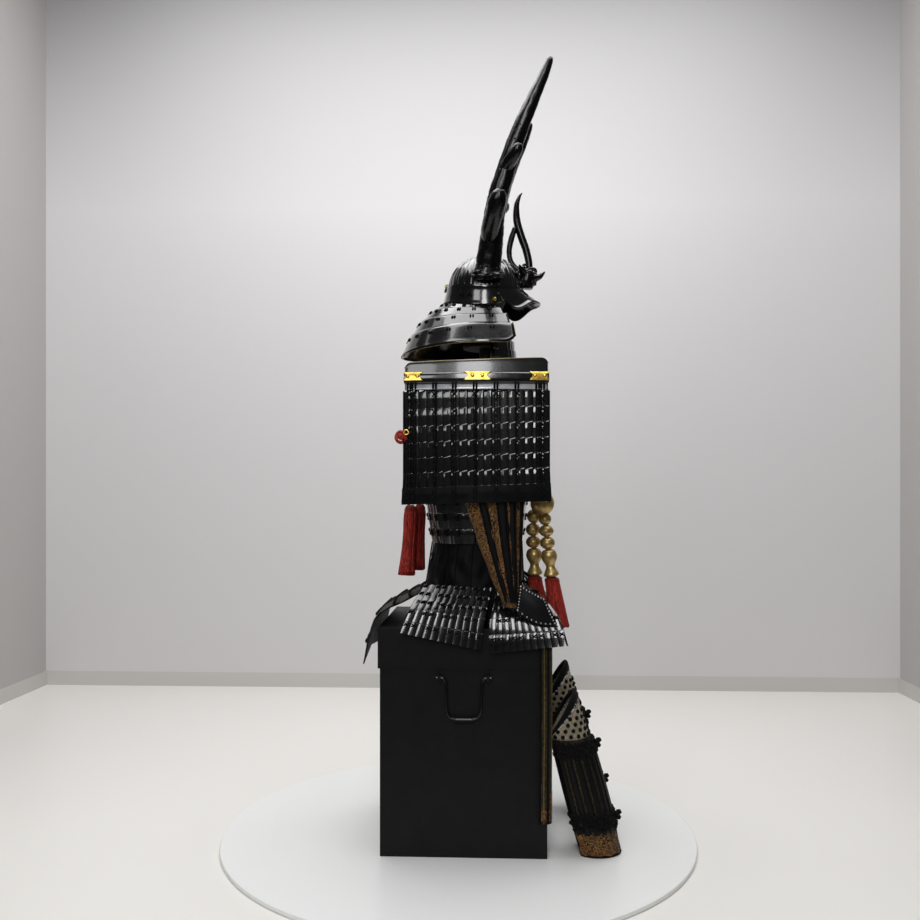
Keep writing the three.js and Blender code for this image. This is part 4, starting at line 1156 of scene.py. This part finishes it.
sleeve_away = (-246, -70, 900)
v, f = shell(sleeve_at, turn(72), np.linspace(1196, 628, 60), 2.2, sleeve_away, sleeve_rise, around=True)
for ob in both("kote_cloth", v, f, M_BROCADE, "kote_sleeve"):
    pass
b = Batch()
edge = Batch()
for t, wide in ((0.30, 6.5), (0.62, 9), (0.80, 7), (0.95, 5)):
    zs = np.linspace(1190, 640, 60)
    cx, cy, hx, hy = between(zs, SLEEVE)
    y = cy + hy * (1 - 2 * t)
    k = min(abs(1 - 2 * t), 0.985) ** (1 / 0.85)
    x = cx - hx * math.sqrt(1 - k * k) ** 0.85 - 3.0
    w = wide * hy / 62 + 1.2
    v, f = tube(vec(x, y, zs), w, 12, 0.3, side=(0, 1, 0))
    b.add(v, f)
    for dy in (-1, 1):
        edge.add(*tube(vec(x - 0.6, y + dy * (w + 0.8), zs), 1.5, 6))
edge.both("kote_edging", M_VELVET)
b.both("kote_splints", M_DULL)


def hand_at(u, v):
    y = (-139 + 10 * v) * (1 - u) + (-198 - 31 * v) * u
    z = (684 - 60 * v) * (1 - u) + (650 - 60 * v) * u
    swell = (1 - (2 * u - 1) ** 2) * (1 - (2 * v - 1) ** 2)
    return vec(-261 - 8 * swell, y, z - 16 * v * (1 - (2 * u - 1) ** 2))


def hand_rise(U, W):
    return 1.0 * ((U < 0.08) | (U > 0.92) | (W < 0.1) | (W > 0.9))


v, f = shell(hand_at, np.linspace(0, 1, 20), np.linspace(0, 1, 14), 2.4, (-200, -175, 630), hand_rise)
both("hand_plate_lacquer", v, f, M_CHEST, "hand_plate")
b = Batch()
for t in np.linspace(0.04, 0.96, 9):
    for u, w in ((t, 0.05), (t, 0.95), (0.05, t), (0.95, t)):
        b.add(*ball(hand_at(np.float64(u), np.float64(w)) + np.array([-4.2, 0, 0]), 2.1, 8, 6))
b.both("hand_plate_studs", M_STEEL)

# Beads
b = Batch()
LOOP = [
    (-118, -190, 917.6), (-62, -190, 960), (0, -192, 1010), (58, -189, 1062), (112, -170.8, 1120),
    (132, -130, 1190), (136, -60, 1236), (134, 10, 1236), (122, 80, 1200), (82, 128, 1140),
    (20, 140, 1080), (-50, 140, 1010), (-112, 122, 950), (-172, 72, 915), (-193, 0, 905),
    (-193, -80, 905), (-168, -150, 912)
]
path = smooth_path(LOOP, 600, True)
step = np.linalg.norm(np.roll(path, -1, 0) - path, axis=1)
dist = np.concatenate([[0], np.cumsum(step)])
closed_path = np.vstack([path, path[0]])
BEADS = 58
for k in range(BEADS):
    s = (k + 0.5) / BEADS * dist[-1]
    c = np.array([np.interp(s, dist, closed_path[:, i]) for i in range(3)])
    b.add(*ball(c, 11.6, 14, 9))
b.add(*tube(path[::4], 2.2, 6, closed=True))
b.make("bead_loop_balls", M_BEAD, "bead_loop")
b = Batch()
b.add(*ball((-118, -200, 879), 31, 32, 20))
b.make("bead_big_ball", M_BEAD, "bead_ball")


GOURD = [
    (5, 0), (9, 0.01), (15, 0.06), (18.6, 0.17), (19.2, 0.28), (17, 0.4), (12.5, 0.52), (10.5, 0.6),
    (11.5, 0.68), (15, 0.78), (18.2, 0.88), (17.5, 0.955), (10, 0.995), (5, 1)
]


def strand(name, x, balls, top, bottom):
    """Balls with short necks, then a two-lobed gourd between two points; rows of y, z, radius, flatness."""
    b = Batch()
    for (y, z, r, flat), (next_y, next_z, *_) in zip(balls, [*balls[1:], top]):
        b.add(*ball((x, y, z), r, 24, 15, (1, 1, flat)))
        b.add(*tube([(x, y, z), (x, next_y, next_z)], 6.0, 14, side=(1, 0, 0)))
    profile = smooth_path([(r * 1.07, t, 0) for r, t in GOURD], 44)
    (y0, z0), (y1, z1) = top, bottom
    path = [(x, y0 + (y1 - y0) * t, z0 + (z1 - z0) * t) for t in profile[:, 1]]
    b.add(*tube(path, profile[:, 0], 26, side=(1, 0, 0)))
    b.make(name + "_balls", M_BEAD, name)


BALLS_1 = [(-180, 845, 19.5, 0.95), (-177, 810, 19, 0.9), (-178, 778, 19.5, 0.82)]
BALLS_2 = [(-207, 838, 16, 1), (-210, 808, 19, 0.82), (-213, 777, 19.5, 0.84)]
strand("bead_strand_1", -92, BALLS_1, (-179, 762), (-182, 690.8))
strand("bead_strand_2", -118, BALLS_2, (-215, 761), (-224, 689.6))

# Tassels: cap of bound cord and many threads; rows of y, z, radius
ROWS, CAP_ROWS, GOLDEN_ANGLE = 22, 6, 2.399963


def tassel(name, x, rows, strands=46):
    rows = smooth_path([(x, *row) for row in rows], ROWS)
    cap, skirt = Batch(), Batch()
    cap.add(*tube(rows[:CAP_ROWS, :3], rows[:CAP_ROWS, 3], 18, side=(1, 0, 0)))
    a = circle(18)
    for row in rows[:CAP_ROWS]:
        ring = row[:3] + np.stack([np.cos(a), np.sin(a), 0 * a], 1) * row[3] * 1.02
        cap.add(*tube(ring, 1.3, 6, closed=True))
    low = rows[CAP_ROWS - 1 :]
    step = np.arange(len(low))
    t = step / (ROWS - CAP_ROWS)
    for k in range(strands):
        a = k * GOLDEN_ANGLE
        r = (low[:, 3] - 2.2) * (1.0 if k % 3 else 0.62) * (1 + rng.normal(0, 0.035) * t)
        sway = 0.8 * np.sin(k * 1.7 + (step + CAP_ROWS - 1) * 0.9) * t
        path = low[:, :3] + vec(math.cos(a) * r + sway, math.sin(a) * r, 0)
        path[-1, 2] += rng.uniform(0, 3)
        skirt.add(*tube(path, np.linspace(1.7, 2.5, len(path)), 5))
    skirt.add(*tube(low[:, :3], low[:, 3] * 0.86, 18, side=(1, 0, 0)))
    skirt.make(name + "_threads", M_RED, name)
    cap.make(name + "_cap", M_REDCAP)


TASSELS = {
    "bead_tassel_1": (
        -92, [(-182, 690.6, 9), (-182, 683, 18.5), (-184, 668, 19.5), (-190, 640, 20.5), (-197, 600, 22)]
    ),
    "bead_tassel_2": (
        -118, [(-224, 689.3, 9), (-225, 682, 18.5), (-227, 668, 19.5), (-236, 620, 21), (-247, 560, 23)]
    ),
    "rear_tassel_1": (
        -20,
        [(150, 871.4, 9), (150, 862, 15), (150, 840, 19), (152, 795, 18), (156, 740, 19), (160, 684, 23)],
        64
    ),
    "rear_tassel_2": (
        24, [(128, 872.2, 9), (128, 862, 14), (128, 846, 16), (130, 790, 15), (133, 694, 18)], 56
    ),
}
for name, row in TASSELS.items():
    tassel(name, *row)

# Rear bow
BOW_Y = 117.2
b = Batch()
for cx, cz, rx, rz in ((-34, 1012, 26, 15), (34, 1012, 26, 15), (0, 1048, 13, 30)):
    for off in (-2.6, 2.6):
        a = circle(36)
        path = vec(cx + (rx + off) * np.cos(a), BOW_Y, cz + (rz + off) * np.sin(a))
        b.add(*tube(path, 2.7, 8, closed=True))
for dz in np.linspace(1000, 1024, 6):
    b.add(*capsule((-12, BOW_Y + 2, dz), (12, BOW_Y + 2, dz), 4.6, 8))
b.add(*ball((0, 117, 1012), 13, 14, 9, (1, 0.55, 1)))
TAIL_LEFT = [(-8, BOW_Y, 1004), (-14, 130, 960), (-20, 150, 900), (-20, 155, 872)]
TAIL_RIGHT = [(8, BOW_Y, 1004), (16, 122, 960), (24, 130, 900), (24, 131, 872)]
for rows in (TAIL_LEFT, TAIL_RIGHT):
    p = smooth_path(rows, 20)
    for off in (-2.4, 2.4):
        b.add(*tube(p + np.array([off, 0, 0]), 2.7, 8))
b.make("rear_bow_cords", M_RED, "rear_bow")


# Thigh apron
APRON = np.array(
    [
        (-6, -213.4), (-60, -213.6), (-130, -214), (-190, -214.8), (-205, -215.6), (-213, -214),
        (-218, -208), (-219.5, -199), (-219, -190)
    ],
    float
)
APRON_TOP, APRON_HEM = 571, 91
APRON_S = np.concatenate([[0], np.cumsum(np.linalg.norm(np.diff(APRON, axis=0), axis=1))])


def apron_at(u, v):
    d = u * APRON_S[-1]
    drift = 3 * np.sin(v * 5) * np.clip(u - 0.7, 0, 1)
    x, y = (np.interp(d, APRON_S, APRON[:, k]) for k in (0, 1))
    return vec(x, y - drift, APRON_TOP + (APRON_HEM - APRON_TOP) * v)


def apron_rise(U, W):
    return 0.7 + 0.8 * np.sin(U * 50 + 2 * np.sin(W * 9))


apron_away = (-96, 0, 300)
b = Batch()
us = np.concatenate([np.linspace(0, 0.8, 40), np.linspace(0.81, 1, 22)])
b.add(*shell(apron_at, us, np.linspace(0.0, 1.0, 70), 3.4, apron_away, apron_rise))
us_top, vs_top = np.linspace(-206, -6, 40), np.linspace(-182, -215, 8)
b.add(*shell(lambda u, v: vec(u, v, 569.5), us_top, vs_top, 3.2, (-96, -190, 0)))
for ob in b.both("haidate_cloth", M_BROCADE_DIM, "haidate"):
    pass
zs = np.linspace(0, 1, 60)


def apron_line(u, *shift):
    return apron_at(np.full(60, u), zs) + vec(*shift)


b = Batch()
b.add(*tube(apron_at(us, np.zeros(len(us))) + vec(0, -2.5, 0.5), 5.0, 10))
b.add(*tube(apron_line(1.0, -1.5, 0.7 * np.sin(zs * 40), 0), 5.2, 10))
b.add(*tube(apron_line(0.93, -4.2, -3, 0), 3.4, 8))
b.add(*tube(apron_at(us, np.ones(len(us))) + vec(0, -1.8, 1), 3.4, 8))
b.add(*tube(apron_line(0.0, 0, -1.8, 0), 2.6, 8))
b.both("haidate_binding", M_VELVET)
b = Batch()
b.add(*tube(apron_line(0.965, -3.6, -1.6, 0), 1.4, 6))
b.add(*tube(apron_line(0.885, -2, -4.4, 0), 1.4, 6))
b.both("haidate_gold_line", M_GOLD_DIM)


def small_plate_rise(U, W):
    return 1.2 * np.sin(np.clip((U - x) / 18, 0, 1) * math.pi) ** 0.5


b = Batch()
for x in np.arange(-170, -12, 24):
    for z0 in np.arange(205, 520, 52):
        us, vs = np.linspace(x, x + 18, 7), np.linspace(z0, z0 + 44, 5)
        b.add(*shell(lambda u, v: vec(u, -218.4, v), us, vs, 1.6, apron_away, small_plate_rise))
b.both("haidate_plates", M_LACQUER, split=40)
b = Batch()
us, vs = np.linspace(0.02, 0.9, 60), np.linspace(0.84, 0.985, 12)
b.add(*shell(lambda u, v: apron_at(u, v) + vec(0, -0.9, 0), us, vs, 4.4, apron_away))
b.add(*shell(apron_at, np.linspace(0.9, 0.99, 14), np.linspace(0.93, 0.985, 8), 5.0, apron_away))
b.both("haidate_hem", M_BROCADE)

# Shin guards
SHIN_TOP, SHIN_HALF, SHIN_DEEP, SHIN_FOOT_Y, SHIN_LEAN = 290.0, 50.0, 58.0, -339.4, 0.264
OPEN, KNEE_FALL = 132.0, 100 / 1.67


def shin_at(mid, ahead):
    def at(u, v):
        swell = 1 + 0.07 * np.sin(math.pi * np.clip(v / SHIN_TOP, 0, 1))
        y = SHIN_FOOT_Y + SHIN_LEAN * v + ahead - SHIN_DEEP * swell * cosd(u)
        return vec(mid + SHIN_HALF * swell * sind(u), y, v + 0.3)

    return at


def knee_at(mid, top, ahead):
    def at(u, v):
        low = SHIN_TOP + 1.5
        z = low + (top - KNEE_FALL * (1 - cosd(u)) - low) * v
        y = SHIN_FOOT_Y + SHIN_LEAN * z + ahead - (54 - 4 * v) * cosd(u)
        return vec(mid + (SHIN_HALF + 5 * v) * sind(u), y, z)

    return at


def quilt_rise(U, W):
    pad = np.clip(np.sin(math.pi * np.clip(W, 0, 1)) * 4, 0, 1)
    return 1.3 * pad + 0.5 * np.sin(U / 3.4) * np.sin(W * 26)


TIES, TIE_SPREAD = 300, 20
for word, mid, top, ahead in (("right", -148, 403, 3.4), ("left", 148, 421, 0.0)):
    at = shin_at(mid, ahead)
    away = (mid, -300, 145)
    us = np.linspace(-OPEN, OPEN, 84)
    v, f = shell(at, us, np.linspace(0, 62, 14), 3.2, away, lambda U, W: 0.5 + 0.5 * np.sin(U / 5 + W / 6))
    ob = make(f"suneate_cloth_{word}", v, f, M_BROCADE, f"suneate_{word}")
    v, f = shell(at, us, np.linspace(58, 290, 24), 2.4, away, lambda U, W: 0.5 + 0.4 * np.sin(U / 4))
    ob = make(f"suneate_ground_{word}", v, f, M_BROCADE_DIM)
    b = Batch()
    for a in np.arange(-120, 121, 20):
        zs = np.linspace(58, 286, 26)
        frames = [surface_frame(at, a, z, away) for z in zs]
        path = [p + n * 4.0 for p, n, *_ in frames]
        middle = surface_frame(at, a, 180, away)[1]
        b.add(*tube(path, 8.4, 10, 0.34, side=np.cross(middle, (0, 0, 1))))
    b.make(f"suneate_splints_{word}", M_DULL)
    kat = knee_at(mid, top, ahead)
    kaway = (mid, -270, 330)
    us = np.linspace(-OPEN, OPEN, 100)
    v, f = shell(kat, us, np.linspace(0, 1, 30), 3.6, kaway, quilt_rise)
    ob = make(f"knee_quilt_{word}", v, f, M_QUILT, f"knee_guard_{word}")
    dots = Batch()
    for r in range(6):
        for a in np.arange(-120, 121, 20):
            a2 = a + 10 * (r % 2)
            span = top - KNEE_FALL * (1 - cosd(a2)) - SHIN_TOP
            w = (9 + r * 15) / span
            if abs(a2) > 126 or w > 0.8:
                continue
            p, n, *_ = surface_frame(kat, a2, w, kaway, 0.5, 0.01)
            dots.add(*ball(p + n * 5.0, 5.5, 10, 7, (1, 1, 1)))
    dots.make(f"knee_knots_{word}", M_VELVET)
    trim, velvet = Batch(), Batch()
    trim.add(*shell(kat, us, np.linspace(0.83, 0.9, 5), 5.8, kaway))
    velvet.add(*shell(kat, us, np.linspace(0.89, 1.0, 5), 6.4, kaway))
    path = kat(us, np.ones(100)) + vec(0, 0, 1.0)
    velvet.add(*tube(path, 5.6, 8))
    for s in (-1, 1):
        ws = np.linspace(0, 1, 12)
        velvet.add(*tube(kat(np.full(12, s * OPEN), ws), 4.0, 8))
        zs = np.linspace(2, 288, 30)
        velvet.add(*tube(at(np.full(30, s * OPEN), zs), 4.4, 8))
    trim.make(f"knee_chequer_{word}", M_CHECK)
    velvet.add(*tube(at(us, np.full(100, 3.0)), 4.6, 8))
    velvet.make(f"suneate_velvet_{word}", M_VELVET)
    ties = Batch()
    for z0 in (88, 268):
        for q in range(TIES):
            a = -OPEN + 2 * OPEN * ((q * 0.618034) % 1.0)
            dz = rng.uniform(-TIE_SPREAD, TIE_SPREAD)
            p, n, across, up = surface_frame(at, a, min(z0 + dz, 288), away)
            tilt = across * math.cos(q * 1.3) + up * math.sin(q * 1.3)
            ties.add(*capsule(p + n * 6 - tilt * 6, p + n * (8.5 + 2 * math.sin(q)) + tilt * 6, 4.2, 5))
        p, n, *_ = surface_frame(at, -8, min(z0 + 4, 288), away)
        for q in range(16):
            d = np.array([math.cos(q * 2.4), 0.7 * math.sin(q * 1.7), math.sin(q * 2.4)]) * 12
            ties.add(*capsule(p + n * 14, p + n * 15 + d, 4.6, 7))
    ties.make(f"suneate_ties_{word}", M_VELVET)

# Throat guard rows
def throat_at(u, v):
    flare = (1312 - v) / 76
    a = np.radians(u)
    return vec((70 + 14 * flare) * np.sin(a), -58 - (66 + 14 * flare) * np.cos(a), v)


b = Batch()
lamellar(b, throat_at, -84, 84, [1312, 1286, 1262, 1236], 16, 2.2, (0, -58, 1275), 2.6, 1.0, 2.0)
b.make("throat_guard_rows", M_LACQUER, "throat_guard", 38)

# Shoulder straps: padded leather with a bound edge
STRAP = [
    (-74, -167.5, 1085), (-74, -167, 1120), (-78, -158, 1160), (-84, -125, 1200), (-88, -70, 1219.6),
    (-88, -10, 1219.6), (-84, 45, 1212), (-78, 94, 1189.5)
]
path = smooth_path(STRAP, 60)
v, f = tube(path, 22, 20, 3 / 22, side=(1, 0, 0))
both("shoulder_strap_leather", v, f, M_LACQUER, "shoulder_strap")
b = Batch()
for s in (-1, 1):
    b.add(*tube(path + np.array([s * 21, 0, 0]), 2.6, 8))
b.both("shoulder_strap_binding", M_BRAID)

# Materials on the solids that show as they are
for name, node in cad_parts.items():
    if node.hide_render:
        continue
    mat = M_LACQUER
    if name in ("chest_body", "chest_lid"):
        mat = M_CHEST
    elif name.startswith("bail"):
        mat = M_IRON
    elif name == "stand":
        mat = M_WOOD
    elif name.startswith("rear_"):
        mat = M_GOLD_DIM
    node.data.materials.clear()
    node.data.materials.append(mat)
    for poly in node.data.polygons:
        poly.material_index = 0

# Room: pale floor, far wall and round display table; what lies behind the camera adds little light
def room_mat(name, color, rough, one_sided=False, fade=False, seen=None):
    m = Look(name)
    tone = m.mix(m.noise(1.5), color, tuple(min(1, c * 1.03) for c in color))
    if fade:
        # Painted shade: with fade, the wall darkens to six tenths of its colour from about 2.2 m to 3.3 m
        # up, for the light falling off towards the top.
        height = m.node("SeparateXYZ", Vector=m.at).outputs["Z"]
        high = m.ramp(m.times(height, 0.25), (0.56, BLACK), (0.82, WHITE))
        tone = m.mix(high, tone, tuple(c * 0.6 for c in color))
    if seen:
        tone = m.mix(m.node("LightPath").outputs["Is Camera Ray"], tone, seen)
    if one_sided:
        mix = m.node("MixShader", Fac=m.node("NewGeometry").outputs["Backfacing"])
        m.feed(mix.inputs[1], m.bsdf.outputs[0])
        m.feed(mix.inputs[2], m.node("BsdfTransparent").outputs[0])
        m.set(m.out, Surface=mix.outputs[0])
    return m.finish(tone, rough)


PALE = (0.8, 0.785, 0.75)
M_FLOOR = room_mat("floor_white", PALE, 0.3)
M_DARK = room_mat("floor_near", (0.045, 0.045, 0.047), 0.6, seen=PALE)
# The far wall carries painted shade towards its top.
M_WALL_SHADED_TOP = room_mat("wall_white_painted_top_shade", (0.6, 0.59, 0.595), 0.9, True, True)
# The side walls are the same white wall painted darker: painted shade for the lesser light falling on them.
M_SIDE_SHADED = room_mat("side_wall_painted_shade", (0.42, 0.405, 0.4), 0.9, True)
M_SKIRT = room_mat("skirting_white", (0.52, 0.51, 0.49), 0.5, True)
# Side walls run from X0 to the far wall at X1, between YL and YR; the floor lies at LOW
X0, X1, YL, YR, LOW = 1.0, 1.8, 2.07, -1.92, -0.012
WALL_TOP, SKIRT_TOP, SKIRT_DEEP = 4, 0.055, 0.012


def plane(name, corners, mat):
    add_mesh(name, corners, [(0, 1, 2, 3)], mat)


def level(name, x0, y0, y1, z, mat):
    plane(name, [(x0, y0, z), (X1, y0, z), (X1, y1, z), (x0, y1, z)], mat)


def upright(name, a, b, top, mat):
    plane(name, [(*a, LOW), (*b, LOW), (*b, top), (*a, top)], mat)


level("floor", -0.95, YR, YL, LOW, M_FLOOR)
level("floor_near", -6, -4, 4, LOW - 0.01, M_DARK)
upright("wall", (X1, YL), (X1, YR), WALL_TOP, M_WALL_SHADED_TOP)
upright("wall_left", (X0, YL), (X1, YL), WALL_TOP, M_SIDE_SHADED)
upright("wall_right", (X1, YR), (X0, YR), WALL_TOP, M_SIDE_SHADED)
upright("skirting", (X1 - SKIRT_DEEP, YL), (X1 - SKIRT_DEEP, YR), SKIRT_TOP, M_SKIRT)
upright("skirting_left", (X0, YL - SKIRT_DEEP), (X1, YL - SKIRT_DEEP), SKIRT_TOP, M_SKIRT)
upright("skirting_right", (X1, YR + SKIRT_DEEP), (X0, YR + SKIRT_DEEP), SKIRT_TOP, M_SKIRT)
TABLE = [(625, -11.8), (627, -10), (627, -1.5), (625.5, -0.3), (300, -0.25), (2, -0.25)]
v, f = turned(TABLE, 128, (0, 21, 0))
add_mesh("turntable", (v * MM).tolist(), f, room_mat("table_white", (0.8, 0.81, 0.8), 0.3))


def area(name, loc, target, size, power):
    light = bpy.data.lights.new(name, "AREA")
    light.shape = "RECTANGLE"
    light.size, light.size_y = size
    light.energy = power
    ob = add_object(name, light)
    ob.location = loc
    aim(ob, Vector(target) - Vector(loc))


area("top_light", (0.1, 0.0, 3.5), (0.1, 0.0, 0), (2.6, 3.0), 100)
area("front_light", (-3.3, 0.1, 2.7), (0, 0, 1.0), (0.7, 3.4), 60)
area("rear_side_light", (-3.2, 1.35, 2.1), (0, 0, 1.0), (1.0, 1.4), 18)
area("wall_light", (0.3, 0.6, 2.9), (1.8, 0.6, 1.3), (2.4, 0.8), 7)
world = bpy.data.worlds.new("world")
scene.world = world
world.use_nodes = True
sky = Nodes(world.node_tree)
back = world.node_tree.nodes["Background"]
back.inputs[0].default_value = (1.0, 0.985, 0.97, 1)
sky.feed(back.inputs[1], sky.remap(sky.node("LightPath").outputs["Is Camera Ray"], 0.05, 0.62))
scene.view_settings.view_transform = "Standard"
